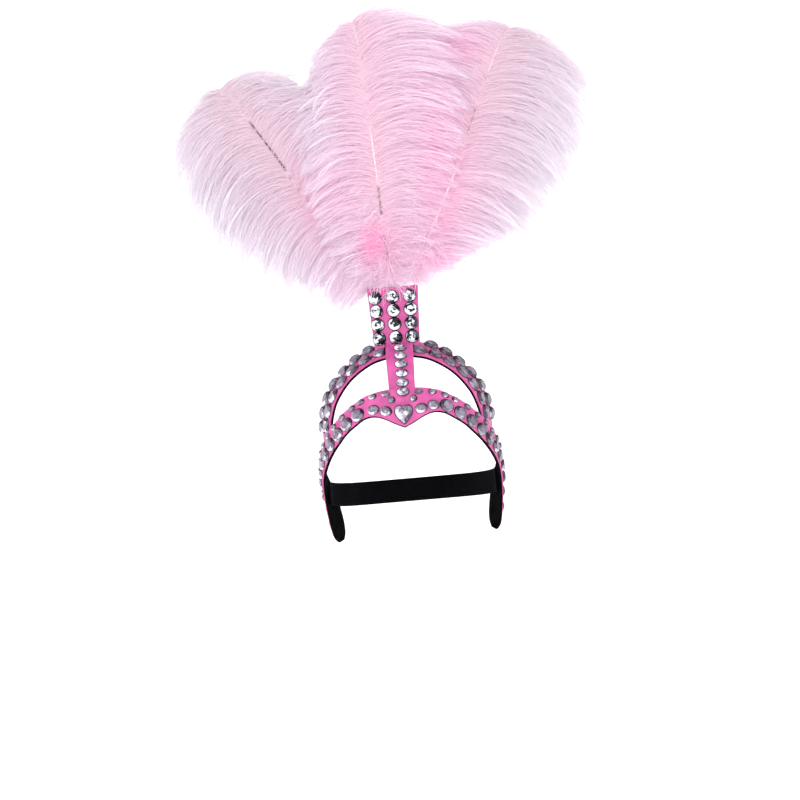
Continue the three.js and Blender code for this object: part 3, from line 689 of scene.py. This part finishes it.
def paint_facet_light(kind, normal, centre, chance, look):
    """How bright a facet is painted: painted light by its slant and painted reflection by chance, by its kind
    and the stone's look.
    """
    slant, contrast = (centre, look["table"]) if kind in TABLE_KINDS else (normal, look["rim"])
    if kind in SIDE_KINDS:
        contrast = SIDE_CONTRAST
    lit = LIT_FROM[0] * slant[0] + LIT_FROM[1] * slant[2]
    base = look["base"][FACETS.index(kind)]
    return float(np.clip(base + contrast * (look["lit"] * lit + look["chance"] * chance), 0.0, 1))


def stones_object(name, stones, look, rng):
    """One object of many stones: each a cut with its directions and its seat."""
    vertices = []
    faces = []
    tones = []
    for (points, cut_faces, kinds), axes, seat in stones:
        placed = points @ axes + seat
        start = len(vertices)
        middle = placed.mean(axis=0)
        size = np.abs(points[:, :2]).max()
        # Painted reflections: bright and dark patches round the stone, one set for the table and one for the
        # other facets
        patches = rng.uniform(-1, 1, (2, PATCHES))
        for face, kind in zip(cut_faces, kinds):
            corners = placed[list(face)]
            normal = unit(np.cross(corners[1] - corners[0], corners[2] - corners[0]))
            centre = (corners.mean(axis=0) - middle) / size
            x, y = points[list(face), :2].mean(axis=0)
            turn = int((math.atan2(y, x) / math.pi + 1) * PATCHES / 2) % PATCHES
            patch = patches[int(kind in TABLE_KINDS), turn]
            chance = PATCH_SHARE * patch + (1 - PATCH_SHARE) * rng.uniform(-1, 1)
            tones.append(paint_facet_light(kind, normal, centre, chance, look))
            faces.append(tuple(start + index for index in face))
        vertices += placed.tolist()
    mesh = bpy.data.meshes.new(name)
    mesh.from_pydata((np.array(vertices) * MM).tolist(), [], faces)
    # Each facet's painted light and painted reflection, as a colour on its corners
    colours = mesh.color_attributes.new("facet_painted_light", "FLOAT_COLOR", "CORNER")
    values = np.repeat(np.array(tones), [len(face) for face in faces])
    colours.data.foreach_set("color", np.stack([values, values, values, np.ones(len(values))], -1).ravel())
    mesh.update()
    return link_object(name, mesh)


def row_stones(surface, rows):
    """The stones of a board's rows, on both sides of its middle."""
    stones = []
    for (length, width, rise, table), across, count, first, pitch, further in rows:
        cut = cut_stone(ellipse, OVAL_FOLDS, length / 2, width / 2, -SINK, OVAL_GIRDLE, rise, table)
        for index in range(count):
            for side in (-1, 1):
                distance = first + index * pitch + (further if side < 0 else 0)
                axes, seat = place_on(surface, across, side * distance, BOARD)
                stones.append((cut, axes, seat))
    return stones


def seated_cut(outline, folds, size, twist=0.0):
    return cut_stone(outline, folds, size["width"] / 2, size["height"] / 2, 0.0,
                     size["girdle"], size["rise"], size["table"], twist)


def plate_stones(rng):
    """The round stones of the plate, row by row from the top, each with its node."""
    upright = np.array([[1.0, 0, 0], [0, 0, 1.0], [0, -1.0, 0]])
    cut = seated_cut(ellipse, ROUND_FOLDS, PLATE_ROUND, 0.5)
    made = []
    for row in range(PLATE_STONES["rows"]):
        pitch = PLATE_STONES["pitch_x"] - row * PLATE_STONES["taper_x"]
        height = PLATE_STONES["top_z"] - row * PLATE_STONES["pitch_z"]
        for column, letter in ((-1, "l"), (0, "c"), (1, "r")):
            x = PLATE["centre"] + PLATE_STONES["shift_x"] + column * pitch
            seat = np.array([x, PLATE["front"] - GAP, height])
            node = f"plate_stone_{row + 1}{letter}"
            made.append((stones_object(f"{node}_cut", [(cut, upright, seat)], CRYSTAL_LOOK, rng), node))
    return made


def strap_stones(rng):
    """The oval stones of the strap, from below, each with its node."""
    cut = seated_cut(ellipse, ROUND_FOLDS, STRAP_OVAL, 0.5)
    made = []
    for index, height in enumerate(STRAP_HEIGHTS):
        seat = strap_point(height, STRAP_SHIFT, BOARD + GAP)
        below, above = (strap_point(height + step, STRAP_SHIFT, BOARD) for step in (-0.5, 0.5))
        up = unit(above - below)
        axes = np.stack([[1.0, 0, 0], up, np.cross([1.0, 0, 0], up)])
        node = f"strap_stone_{index + 1}"
        made.append((stones_object(f"{node}_cut", [(cut, axes, seat)], LILAC_LOOK, rng), node))
    return made


def make_stones():
    """All the stones, in groups by their material: foiled, clear and lilac."""
    rng = np.random.default_rng(SEED)
    band = row_stones(band_surface, BAND_ROWS)
    arch = row_stones(arch_surface, ARCH_ROWS)
    foiled = [
        (stones_object("band_stones", band, FOIL_LOOK, rng), "front_band_facing"),
        (stones_object("arch_stones", arch, FOIL_LOOK, rng), "crown_arch_facing"),
    ]
    clear = plate_stones(rng)
    lilac = strap_stones(rng)
    axes, seat = place_on(band_surface, HEART["across"], 0.0, BOARD + GAP)
    heart = seated_cut(heart_outline, HEART_FOLDS, HEART)
    lilac.append((stones_object("heart_cut", [(heart, axes, seat)], LILAC_LOOK, rng), "heart_stone"))
    for made, node in foiled + clear + lilac:
        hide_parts(node)
    return [[made for made, node in group] for group in (foiled, clear, lilac)]


# Plumes

def shaft_line(plume):
    """A plume's shaft as a curve of even steps: points, directions and length."""
    points, segments = with_ends(plume["shaft"])
    index, part = split(np.linspace(0, segments, SHAFT["points"]), segments)
    a, b, c, d = (points[index + k] for k in range(4))
    line = hermite(b, c, (c - a) / 2, (d - b) / 2, part[:, None])
    travelled = distance_along(line)
    even = np.linspace(0, travelled[-1], SHAFT["points"])
    line = np.stack([np.interp(even, travelled, line[:, k]) for k in range(3)], -1)
    return line, unit(np.gradient(line, axis=0)), travelled[-1]


def sample(values, at):
    places = np.linspace(0, 1, len(values))
    return np.stack([np.interp(at, places, values[:, k]) for k in range(values.shape[1])], -1)


def side_and_front(ahead):
    """The directions across a shaft, in the face of its vane, and out of its front."""
    across = unit(np.cross(ahead, np.array([0, -1.0, 0])))
    return across, np.cross(across, ahead)


def rows_at(plume, side, at):
    """Barb length, angle and droop of one side of a plume, at places on its shaft."""
    rows = np.array(plume["left" if side < 0 else "right"], float)
    length, angle, droop = (np.interp(at, rows[:, 0], rows[:, column]) for column in (1, 2, 3))
    return length, angle, droop


def barb_paths(start, first, length, droop):
    """The points of barbs that leave the shaft and bend over towards the ground."""
    down = np.array([0, 0, -1.0])
    whole = np.arccos(np.clip(first @ down, -0.9999, 0.9999))
    paths = [start]
    for step in range(STRAND_STEPS):
        bend = np.minimum(droop * (step + 0.5) / STRAND_STEPS, whole * 0.98)
        direction = np.sin(whole - bend)[:, None] * first + np.sin(bend)[:, None] * down
        direction /= np.sin(whole)[:, None]
        paths.append(paths[-1] + direction * (length / STRAND_STEPS)[:, None])
    return np.stack(paths, 1)


def first_directions(tangents, side, angle, lean):
    """Where barbs point as they leave the shaft: at an angle to it, and leaning back."""
    across = side_and_front(tangents)[0]
    back = np.zeros_like(tangents)
    back[:, 1] = np.sin(lean)
    return unit(tangents * np.cos(angle)[:, None] + across * (side * np.sin(angle))[:, None] + back)


def led_paths(leaders, owner, ratio):
    """Where barbs lie if they follow their clump's leader for a ratio of its length, and how far along it."""
    along = np.linspace(0, 1, STRAND_STEPS + 1)
    place = np.clip(along[None, :] * ratio[:, None], 0, 1) * STRAND_STEPS
    index, part = split(place, STRAND_STEPS)
    part = part[..., None]
    led = leaders[owner[:, None], index] * (1 - part) + leaders[owner[:, None], index + 1] * part
    return led, place / STRAND_STEPS


def vane(plume, side, layer, rng):
    """The barbs of one side of a plume, in clumps that close towards their tips: paths and brightness."""
    line, tangents = shaft_line(plume)[:2]
    first_at = plume["left" if side < 0 else "right"][0][0]
    clumps = layer["clumps"]
    pitch = (1.0 - first_at) / clumps
    clump_at = np.clip(first_at + pitch * (np.arange(clumps) + rng.uniform(0, 1, clumps)), 0, 1)
    clump_turn = rng.normal(0, 1, (clumps, 3)) * np.array(CLUMP_SPREAD) * layer["loose"]
    clump_reach = layer["reach"] * rng.uniform(*CLUMP_REACH, clumps)
    clump_length = rows_at(plume, side, clump_at)[0] * clump_reach
    lean = math.radians(plume["lean"] + layer["lean"])

    def paths_at(at, length, turn, inward):
        angle, droop = rows_at(plume, side, at)[1:]
        angle = np.radians(angle * inward + turn[:, 0])
        droop = np.radians(droop * (1 + turn[:, 1]))
        first = first_directions(sample(tangents, at), side, angle, lean + np.radians(turn[:, 2]))
        return barb_paths(sample(line, at), first, length, droop)

    leaders = paths_at(clump_at, clump_length, clump_turn, np.ones(clumps))
    owner = np.repeat(np.arange(clumps), layer["strands"])
    count = len(owner)
    scatter = pitch * rng.uniform(-BARB_SCATTER, BARB_SCATTER, count)
    at = np.clip(clump_at[owner] + scatter, first_at - 0.01, 1)
    share = 1 - np.abs(rng.normal(0, LENGTH_SPREAD, count))
    short = rng.uniform(0, 1, count) < SHORT_SHARE
    share[short] *= rng.uniform(*SHORT_LENGTHS, short.sum())
    tuft = at > TUFT["start"]
    inward = np.where(tuft, rng.uniform(0, 1, count) ** TUFT["inward"], 1.0)
    share *= TUFT["least"] + (1 - TUFT["least"]) * inward ** TUFT["fall"]
    length = rows_at(plume, side, at)[0] * clump_reach[owner] * share
    turn = clump_turn[owner] + rng.normal(0, 1, (count, 3)) * np.array(BARB_SPREAD) * layer["loose"]
    paths = paths_at(at, length, turn, inward)
    led, far = led_paths(leaders, owner, length / clump_length[owner])
    close = rng.uniform(*CLUMP_HOLD, clumps)[owner][:, None] * smoothstep(*layer["closing"], far)
    close = np.where(tuft[:, None], 0.0, close)[..., None]
    paths = paths * (1 - close) + led * close + waves(length, rng) * layer["wander"]
    return paths, rng.uniform(0, 1, count)


def waves(length, rng):
    """The slow and quick wander of barbs from their line, none at the root."""
    along = np.linspace(0, 1, STRAND_STEPS + 1)
    count = len(length)
    moved = np.zeros((count, len(along), 3))
    for reach, size in WAVES:
        for axis in range(3):
            phase = rng.uniform(0, 2 * math.pi, count)
            swing = size * rng.uniform(0.3, 1.0, count)
            angle = along[None, :] * length[:, None] / reach * 2 * math.pi + phase[:, None]
            moved[..., axis] += np.sin(angle) * swing[:, None] * along[None, :] ** 0.7
    return moved


def cover_barbs(plume, count, rng):
    """Barbs that cross in front of the shaft wherever it doesn't show."""
    line, tangents = shaft_line(plume)[:2]
    at = rng.uniform(COVER["from"], COVER["to"], count)
    kept = np.ones(count)
    for start, end, depth in plume["painted_shade"] + plume["pale"]:
        kept[(at > start) & (at < end)] = 1 - COVER["thins"] * depth
    at = at[rng.uniform(0, 1, count) < kept]
    parts = []
    for half, side in enumerate((-1, 1)):
        chosen = at[half::2]
        ahead = sample(tangents, chosen)
        length, angle, droop = rows_at(plume, side, chosen)
        few = len(chosen)
        angle = np.radians(angle * rng.uniform(*COVER["angle"], few))
        first = first_directions(ahead, side, angle, np.radians(rng.normal(*COVER["turn"], few)))
        length = length * rng.uniform(*COVER["length"], few)
        forward = side_and_front(ahead)[1] * rng.uniform(*COVER["front"], few)[:, None]
        start = sample(line, chosen) + forward - first * rng.uniform(*COVER["start"], few)[:, None]
        parts.append(barb_paths(start, first, length, np.radians(droop * COVER["droop"])))
    paths = np.concatenate(parts)
    return paths, rng.uniform(0, 1, len(paths))


def down_barbs(plume, count, rng):
    """Short loose barbs all round the lower end of the shaft."""
    line, tangents = shaft_line(plume)[:2]
    at = rng.uniform(DOWN["from"], DOWN["to"], count)
    round_about = rng.uniform(0, 2 * math.pi, count)
    direction = sample(tangents, at)
    across, front = side_and_front(direction)
    angle = np.radians(rng.uniform(*DOWN["angle"], count))
    outward = across * np.cos(round_about)[:, None] + front * np.sin(round_about)[:, None] * DOWN["flat"]
    first = unit(direction * np.cos(angle)[:, None] + outward * np.sin(angle)[:, None])
    length = rng.uniform(*DOWN["length"], count) * (DOWN["least"] + DOWN["growth"] * at)
    paths = barb_paths(sample(line, at), first, length, np.radians(rng.uniform(*DOWN["droop"], count)))
    return paths + waves(length, rng) * DOWN["wander"], rng.uniform(0, DOWN["shade"], count)


def ribbons(paths, rng):
    """Thin flat barbs along paths, each rolled by chance about its own line: vertices and quads."""
    count, points = paths.shape[:2]
    along = np.linspace(0, 1, points)
    ahead = unit(np.gradient(paths, axis=1))
    flat = unit(np.cross(ahead, np.array([0, 1.0, 0])))
    deep = np.cross(ahead, flat)
    root, twist = (rng.uniform(-most, most, count)[:, None] for most in BARB_ROLLS)
    roll = root + twist * along
    across = flat * np.cos(roll)[..., None] + deep * np.sin(roll)[..., None]
    half = across * (np.interp(along, *zip(*BARB_WIDTHS)) / 2)[None, :, None]
    vertices = np.stack([paths - half, paths + half], 2).reshape(-1, 3)
    base = (np.arange(count) * points * 2)[:, None] + (np.arange(points - 1) * 2)[None, :]
    quads = np.stack([base, base + 1, base + 3, base + 2], -1).reshape(-1, 4)
    return vertices, quads


def deeper_pink_at(points):
    """How much deeper the pink is at points: soft spots, upright in the picture."""
    depth = np.zeros(points.shape[:-1])
    for x, z, wide, high, strength in DEEPER_PINK_SPOTS:
        across = (points[..., 0] - x - (points[..., 2] - z) * PHOTO_TILT) / wide
        up = (points[..., 2] - z) / high
        depth = np.maximum(depth, strength * np.exp(-across ** 2 - up ** 2))
    return depth


def make_barbs(name, plume, kind, rng):
    """One layer of a plume's barbs as one mesh."""
    layer = LAYERS[kind]
    parts = [vane(plume, -1, layer, rng), vane(plume, 1, layer, rng), down_barbs(plume, layer["down"], rng)]
    wisps = []
    if layer["cover"]:
        parts.append(cover_barbs(plume, layer["cover"], rng))
        wisps = [vane(plume, -1, WISPS, rng), vane(plume, 1, WISPS, rng)]
    paths, shade = (np.concatenate(group) for group in zip(*parts, *wisps))
    few = sum(len(part[0]) for part in wisps)
    pale = np.concatenate([np.zeros(len(paths) - few), rng.uniform(*WISP_HIGHLIGHT, few)])
    paths[..., 1] += BARB_BACK
    vertices, quads = ribbons(paths, rng)
    mesh = quad_mesh(f"{name}_{kind}", vertices, quads)
    points = paths.shape[1]
    part = np.linspace(0, 1, points)[None, :]
    # Wisps are painted nearly white towards their tips, by their share of painted highlight
    highlighted = pale[:, None] * smoothstep(*WISP_HIGHLIGHT_SPAN, part)
    along = highlighted + (1 - highlighted) * part * TIP_SHADE
    add_values(mesh, "along", np.broadcast_to(along[..., None], (len(paths), points, 2)))
    add_values(mesh, "shade", np.broadcast_to(shade[:, None, None], (len(paths), points, 2)))
    add_values(mesh, "deeper_pink", deeper_pink_at(vertices))
    add_values(mesh, "cool", smoothstep(COOL["from"], COOL["full"], np.abs(vertices[:, 0] - COOL["middle"])))
    mesh.shade_smooth()
    return link_object(f"{name}_{kind}", mesh)


def stretches(at, spans):
    """How far the shaft shows at places on it: the depth of the spans, with soft ends, and 0 elsewhere."""
    inside = np.zeros(len(at))
    for start, end, depth in spans:
        rising = smoothstep(start + SHAFT["starts"][0], start + SHAFT["starts"][1], at)
        falling = 1 - smoothstep(end + SHAFT["ends"][0], end + SHAFT["ends"][1], at)
        inside = np.maximum(inside, rising * falling * depth)
    return inside


def make_shaft(name, plume):
    """The shaft as a tapering tube with a faint groove, and where it has painted shade and where it is pale.
    """
    line, tangents, whole = shaft_line(plume)
    at = np.linspace(0, 1, SHAFT["rings"])
    across, front = side_and_front(sample(tangents, at))
    radius = SHAFT["root_radius"] + (SHAFT["tip_radius"] - SHAFT["root_radius"]) * at
    turns = np.linspace(0, 2 * math.pi, SHAFT["sides"], endpoint=False)
    from_groove = np.abs(turns - 1.5 * math.pi) / SHAFT["groove_width"]
    shape = 1 - SHAFT["groove"] * np.exp(-from_groove ** 2)
    rings = sample(line, at)[:, None, :] + radius[:, None, None] * (
        across[:, None, :] * (np.cos(turns) * shape)[None, :, None]
        - front[:, None, :] * (np.sin(turns) * shape)[None, :, None]
    )
    shown = [stretches(at, plume[colour])[:, None] for colour in ("painted_shade", "pale")]
    return loft(f"{name}_shaft", rings, (at * whole)[:, None], *shown)


def make_plume(name, plume, rng):
    layers = [make_barbs(name, plume, kind, rng) for kind in LAYERS]
    shaft = make_shaft(name, plume)
    for piece in layers + [shaft]:
        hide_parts(name)
    return layers, shaft


# Materials

def new_material(name, values):
    """A material with one shader, whose constant values are set on its own sockets."""
    made = bpy.data.materials.new(name)
    made.use_nodes = True
    tree = made.node_tree
    tree.nodes.clear()
    output = tree.nodes.new("ShaderNodeOutputMaterial")
    shader = tree.nodes.new("ShaderNodeBsdfPrincipled")
    for socket, value in values.items():
        shader.inputs[socket].default_value = value
    tree.links.new(shader.outputs["BSDF"], output.inputs["Surface"])
    return made, tree, shader


def attribute(tree, name, output):
    node = tree.nodes.new("ShaderNodeAttribute")
    node.attribute_name = name
    return node.outputs[output]


def ramp(tree, factor, stops):
    node = tree.nodes.new("ShaderNodeValToRGB")
    stop = node.color_ramp.elements
    stop[0].position, stop[0].color = stops[0][0], (*stops[0][1], 1)
    stop[1].position, stop[1].color = stops[-1][0], (*stops[-1][1], 1)
    for place, colour in stops[1:-1]:
        stop.new(place).color = (*colour, 1)
    tree.links.new(factor, node.inputs["Fac"])
    return node.outputs["Color"]


def noise(tree, vector, scale, detail=3.0):
    node = tree.nodes.new("ShaderNodeTexNoise")
    node.inputs["Scale"].default_value = scale
    node.inputs["Detail"].default_value = detail
    tree.links.new(vector, node.inputs["Vector"])
    return node.outputs["Fac"]


def wave(tree, vector, scale, direction, distortion=0.0):
    node = tree.nodes.new("ShaderNodeTexWave")
    node.bands_direction = direction
    node.inputs["Scale"].default_value = scale
    node.inputs["Distortion"].default_value = distortion
    tree.links.new(vector, node.inputs["Vector"])
    return node.outputs["Fac"]


def math_node(tree, operation, first, second):
    node = tree.nodes.new("ShaderNodeMath")
    node.operation = operation
    for socket, value in zip(node.inputs, (first, second)):
        if isinstance(value, (int, float)):
            socket.default_value = value
        else:
            tree.links.new(value, socket)
    return node.outputs[0]


def mix_colours(tree, factor, first, second, blend="MIX"):
    node = tree.nodes.new("ShaderNodeMix")
    node.data_type = "RGBA"
    node.blend_type = blend
    for socket, value in ((node.inputs[0], factor), (node.inputs[6], first), (node.inputs[7], second)):
        if isinstance(value, bpy.types.NodeSocket):
            tree.links.new(value, socket)
        else:
            socket.default_value = (*value, 1) if isinstance(value, tuple) else value
    return node.outputs[2]


def bump(tree, shader, height, strength, distance):
    node = tree.nodes.new("ShaderNodeBump")
    node.inputs["Strength"].default_value = strength
    node.inputs["Distance"].default_value = distance
    tree.links.new(height, node.inputs["Height"])
    tree.links.new(node.outputs["Normal"], shader.inputs["Normal"])


def fabric_material():
    """Hot pink stretch satin: a fine weave, soft shine, and slow changes of depth."""
    made, tree, shader = new_material("pink_satin", {"Sheen Weight": 0.08, "Sheen Roughness": 0.4})
    cloth = attribute(tree, "cloth", "Vector")
    weave = math_node(tree, "MULTIPLY", wave(tree, cloth, 0.62, "X", 0.6), wave(tree, cloth, 0.5, "Y", 0.6))
    cloud = noise(tree, cloth, 0.09)
    deep = ramp(tree, cloud, [(0.3, (0.46, 0.037, 0.23)), (0.7, (0.67, 0.085, 0.34))])
    colour = mix_colours(tree, math_node(tree, "MULTIPLY", weave, 0.3), deep, (0.66, 0.22, 0.46))
    tree.links.new(colour, shader.inputs["Base Color"])
    rough = math_node(tree, "ADD", math_node(tree, "MULTIPLY", cloud, 0.12), 0.34)
    tree.links.new(rough, shader.inputs["Roughness"])
    bump(tree, shader, weave, 0.35, 0.00012)
    return made


def foam_material():
    """Matt black closed-cell foam with a fine grain."""
    made, tree, shader = new_material("black_foam_sheet", {"Roughness": 0.82, "Specular IOR Level": 0.02})
    cloth = attribute(tree, "cloth", "Vector")
    grain = noise(tree, cloth, 2.4, 4.0)
    depth = math_node(tree, "MULTIPLY", grain, noise(tree, cloth, 0.12))
    colour = ramp(tree, depth, [(0.15, (0.0006, 0.0006, 0.0008)), (0.45, (0.0045, 0.0045, 0.0055))])
    tree.links.new(colour, shader.inputs["Base Color"])
    bump(tree, shader, grain, 0.5, 0.0002)
    return made


def elastic_material():
    """Black ribbed elastic: lengthwise ribs crossed by a fine weft."""
    made, tree, shader = new_material("black_ribbed_elastic", {"Roughness": 0.66, "Specular IOR Level": 0.02})
    cloth = attribute(tree, "cloth", "Vector")
    weft = wave(tree, cloth, 0.42, "X", 0.4)
    height = math_node(tree, "ADD", wave(tree, cloth, 0.2, "Y"), math_node(tree, "MULTIPLY", weft, 0.45))
    colour = ramp(tree, height, [(0.2, (0.0004, 0.0004, 0.0008)), (1.0, (0.004, 0.004, 0.0055))])
    tree.links.new(colour, shader.inputs["Base Color"])
    bump(tree, shader, height, 0.7, 0.0004)
    return made


def stone_material(name, stops):
    """Cut acrylic over foil: each facet's colour is painted light and painted reflection, under a clear
    gloss.
    """
    made, tree, shader = new_material(name, {
        "Roughness": 0.12, "Specular IOR Level": 0.25, "Coat Weight": 0.2, "Coat Roughness": 0.03,
    })
    facet_painted_light = tree.nodes.new("ShaderNodeSeparateColor")
    tree.links.new(attribute(tree, "facet_painted_light", "Color"), facet_painted_light.inputs[0])
    place = tree.nodes.new("ShaderNodeTexCoord").outputs["Object"]
    cloud = math_node(tree, "MULTIPLY", math_node(tree, "SUBTRACT", noise(tree, place, 300.0), 0.5), 0.3)
    colour = ramp(tree, math_node(tree, "ADD", facet_painted_light.outputs[0], cloud), stops)
    tree.links.new(colour, shader.inputs["Base Color"])
    return made


def shaft_material():
    """Horn-white shaft, dyed with the barbs where they cover it, with painted shade in stretches."""
    made, tree, shader = new_material("plume_shaft", {"Roughness": 0.4})
    cloth = attribute(tree, "cloth", "Vector")
    shown = tree.nodes.new("ShaderNodeSeparateXYZ")
    tree.links.new(cloth, shown.inputs[0])
    dyed = ramp(tree, noise(tree, cloth, 0.3), [(0.3, (0.93, 0.66, 0.78)), (0.7, (0.94, 0.74, 0.84))])
    pale = ramp(tree, noise(tree, cloth, 0.25), [(0.3, (0.92, 0.84, 0.88)), (0.7, (0.96, 0.93, 0.95))])
    # Painted shade where the shaft shows in the gaps between barbs
    painted_shade = ramp(tree, noise(tree, cloth, 0.6), [(0.3, (0.09, 0.035, 0.05)), (0.7, (0.22, 0.11, 0.14))])
    light = mix_colours(tree, shown.outputs[2], dyed, pale)
    tree.links.new(mix_colours(tree, shown.outputs[1], light, painted_shade), shader.inputs["Base Color"])
    return made


def plume_material():
    """Dyed ostrich barbs: light passes through them, pink at the root and nearly white at the tip, with a
    faint painted glow in their own colour that lightens their shade.
    """
    # The emission is a painted glow, not a lamp
    made, tree, shader = new_material("pink_plume", {
        "Roughness": 0.6, "Specular IOR Level": 0.2, "Emission Strength": 0.1,
    })
    along, shade, deeper_pink, cool = (attribute(tree, name, "Fac") for name in ("along", "shade", "deeper_pink", "cool"))
    # Near white at the top of the ramp is reached only by the wisps: a painted highlight
    body = ramp(tree, along, [
        (0.0, (0.92, 0.75, 0.835)), (0.4, (0.895, 0.765, 0.845)), (0.62, (0.87, 0.77, 0.845)),
        (0.8, (0.86, 0.795, 0.86)), (1.0, (0.99, 0.965, 0.985)),
    ])
    tint = ramp(tree, shade, [(0.0, (0.975, 0.93, 0.96)), (0.5, (1.0, 0.99, 1.0)), (1.0, (1.0, 1.0, 1.0))])
    cooled = ramp(tree, cool, [(0.0, (1.0, 1.0, 1.0)), (1.0, (0.95, 1.0, 0.975))])
    plain = mix_colours(tree, 1.0, mix_colours(tree, 1.0, body, tint, "MULTIPLY"), cooled, "MULTIPLY")
    colour = mix_colours(tree, deeper_pink, plain, (0.97, 0.6, 0.79))
    through = tree.nodes.new("ShaderNodeBsdfTranslucent")
    for socket in (shader.inputs["Base Color"], shader.inputs["Emission Color"], through.inputs["Color"]):
        tree.links.new(colour, socket)
    blend = tree.nodes.new("ShaderNodeMixShader")
    blend.inputs[0].default_value = 0.5
    tree.links.new(shader.outputs[0], blend.inputs[1])
    tree.links.new(through.outputs[0], blend.inputs[2])
    output = next(node for node in tree.nodes if node.type == "OUTPUT_MATERIAL")
    tree.links.new(blend.outputs[0], output.inputs["Surface"])
    return made


def stage_material():
    return new_material("pale_stage", {
        "Base Color": (0.93, 0.93, 0.93, 1), "Roughness": 0.9,
        "Emission Color": (1, 1, 1, 1), "Emission Strength": 0.5,
    })[0]


def dress(piece, material, slot):
    """Gives a piece its material and makes it ride on the body; the slot is not used."""
    piece.data.materials.clear()
    piece.data.materials.append(material)
    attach(piece, "root")


# Stage, camera and lights

def make_stage():
    """A pale round floor whose edge rises into a wall on all sides."""
    flat, curve = STAGE["flat"], STAGE["curve"]
    profile = [(flat, 0.0)]
    profile += [(flat + curve * math.sin(a), curve * (1 - math.cos(a)))
                for a in np.linspace(0, math.pi / 2, STAGE["turns"])[1:]]
    profile.append((1.0, STAGE["wall"]))
    sides = STAGE["sides"]
    turns = np.linspace(0, 2 * math.pi, sides, endpoint=False)
    rings = [[(r * math.cos(t), r * math.sin(t), z) for t in turns] for r, z in profile]
    vertices = np.array(rings).reshape(-1, 3) * STAGE["radius"] + np.array([0, 0, STAGE["height"]])
    faces = [tuple(range(sides))] + [face[::-1] for face in ring_faces(len(rings), sides)]
    mesh = bpy.data.meshes.new("stage")
    mesh.from_pydata((vertices * MM).tolist(), [], faces)
    mesh.shade_smooth()
    made = link_object("stage", mesh)
    made.data.materials.append(stage_material())


def make_camera():
    yaw = math.radians(CAMERA["yaw"])
    roll = math.radians(CAMERA["roll"])
    right = np.array([math.cos(yaw), math.sin(yaw), 0])
    ahead = np.array([-math.sin(yaw), math.cos(yaw), 0])
    up = np.array([0, 0, 1.0])
    place = right * CAMERA["right"] - ahead * CAMERA["back"] + up * CAMERA["height"]
    data = bpy.data.cameras.new("camera")
    data.lens = CAMERA["lens"]
    data.sensor_width = CAMERA["sensor"]
    data.clip_start, data.clip_end = CAMERA["range"]
    camera = link_object("camera", data)
    matrix = np.eye(4)
    matrix[:3, 0] = right * math.cos(roll) - up * math.sin(roll)
    matrix[:3, 1] = right * math.sin(roll) + up * math.cos(roll)
    matrix[:3, 2] = -ahead
    matrix[:3, 3] = place * MM
    camera.matrix_world = Matrix(matrix.tolist())
    bpy.context.scene.camera = camera


def make_light():
    world = bpy.data.worlds.new("studio")
    bpy.context.scene.world = world
    world.use_nodes = True
    background = world.node_tree.nodes["Background"]
    background.inputs["Color"].default_value = (1, 1, 1, 1)
    background.inputs["Strength"].default_value = SKY_STRENGTH
    for name, place, aim, size, power in LIGHTS:
        data = bpy.data.lights.new(name, "AREA")
        data.shape = "DISK"
        data.size = size
        data.energy = power
        light = link_object(name, data)
        light.location = place
        light.rotation_mode = "QUATERNION"
        light.rotation_quaternion = (Vector(aim) - Vector(place)).to_track_quat("-Z", "Y")
    bpy.context.scene.view_settings.view_transform = "Standard"


# The scene

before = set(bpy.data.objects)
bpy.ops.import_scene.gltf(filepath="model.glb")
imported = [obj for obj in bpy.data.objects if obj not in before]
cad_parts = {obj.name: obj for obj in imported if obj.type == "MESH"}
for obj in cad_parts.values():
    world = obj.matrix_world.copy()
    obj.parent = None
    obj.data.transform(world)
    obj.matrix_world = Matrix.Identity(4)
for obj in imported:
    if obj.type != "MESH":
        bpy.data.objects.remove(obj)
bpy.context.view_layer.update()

satin = fabric_material()
foam = foam_material()
for backing, cover in (make_band(), make_arch(), make_strap(), make_plate()):
    dress(backing, foam, "black_foam")
    dress(cover, satin, "pink_fabric")
dress(make_elastic(), elastic_material(), "elastic_web")

stone_looks = [
    (stone_material("foiled_stone", FOIL_STOPS), "pink_fabric"),
    (stone_material("clear_cut_stone", CRYSTAL_STOPS), "clear_stone"),
    (stone_material("lilac_cut_stone", LILAC_STOPS), "clear_stone"),
]
for stones, (stone_look, stone_slot) in zip(make_stones(), stone_looks):
    for stone in stones:
        dress(stone, stone_look, stone_slot)

plume_look = plume_material()
shaft_look = shaft_material()
chance = np.random.default_rng(SEED + 1)
for plume_name, plume_rows in PLUMES.items():
    layers, shaft = make_plume(plume_name, plume_rows, chance)
    for barbs in layers:
        dress(barbs, plume_look, "plume_pink")
    dress(shaft, shaft_look, "plume_pink")

make_stage()
make_camera()
make_light()
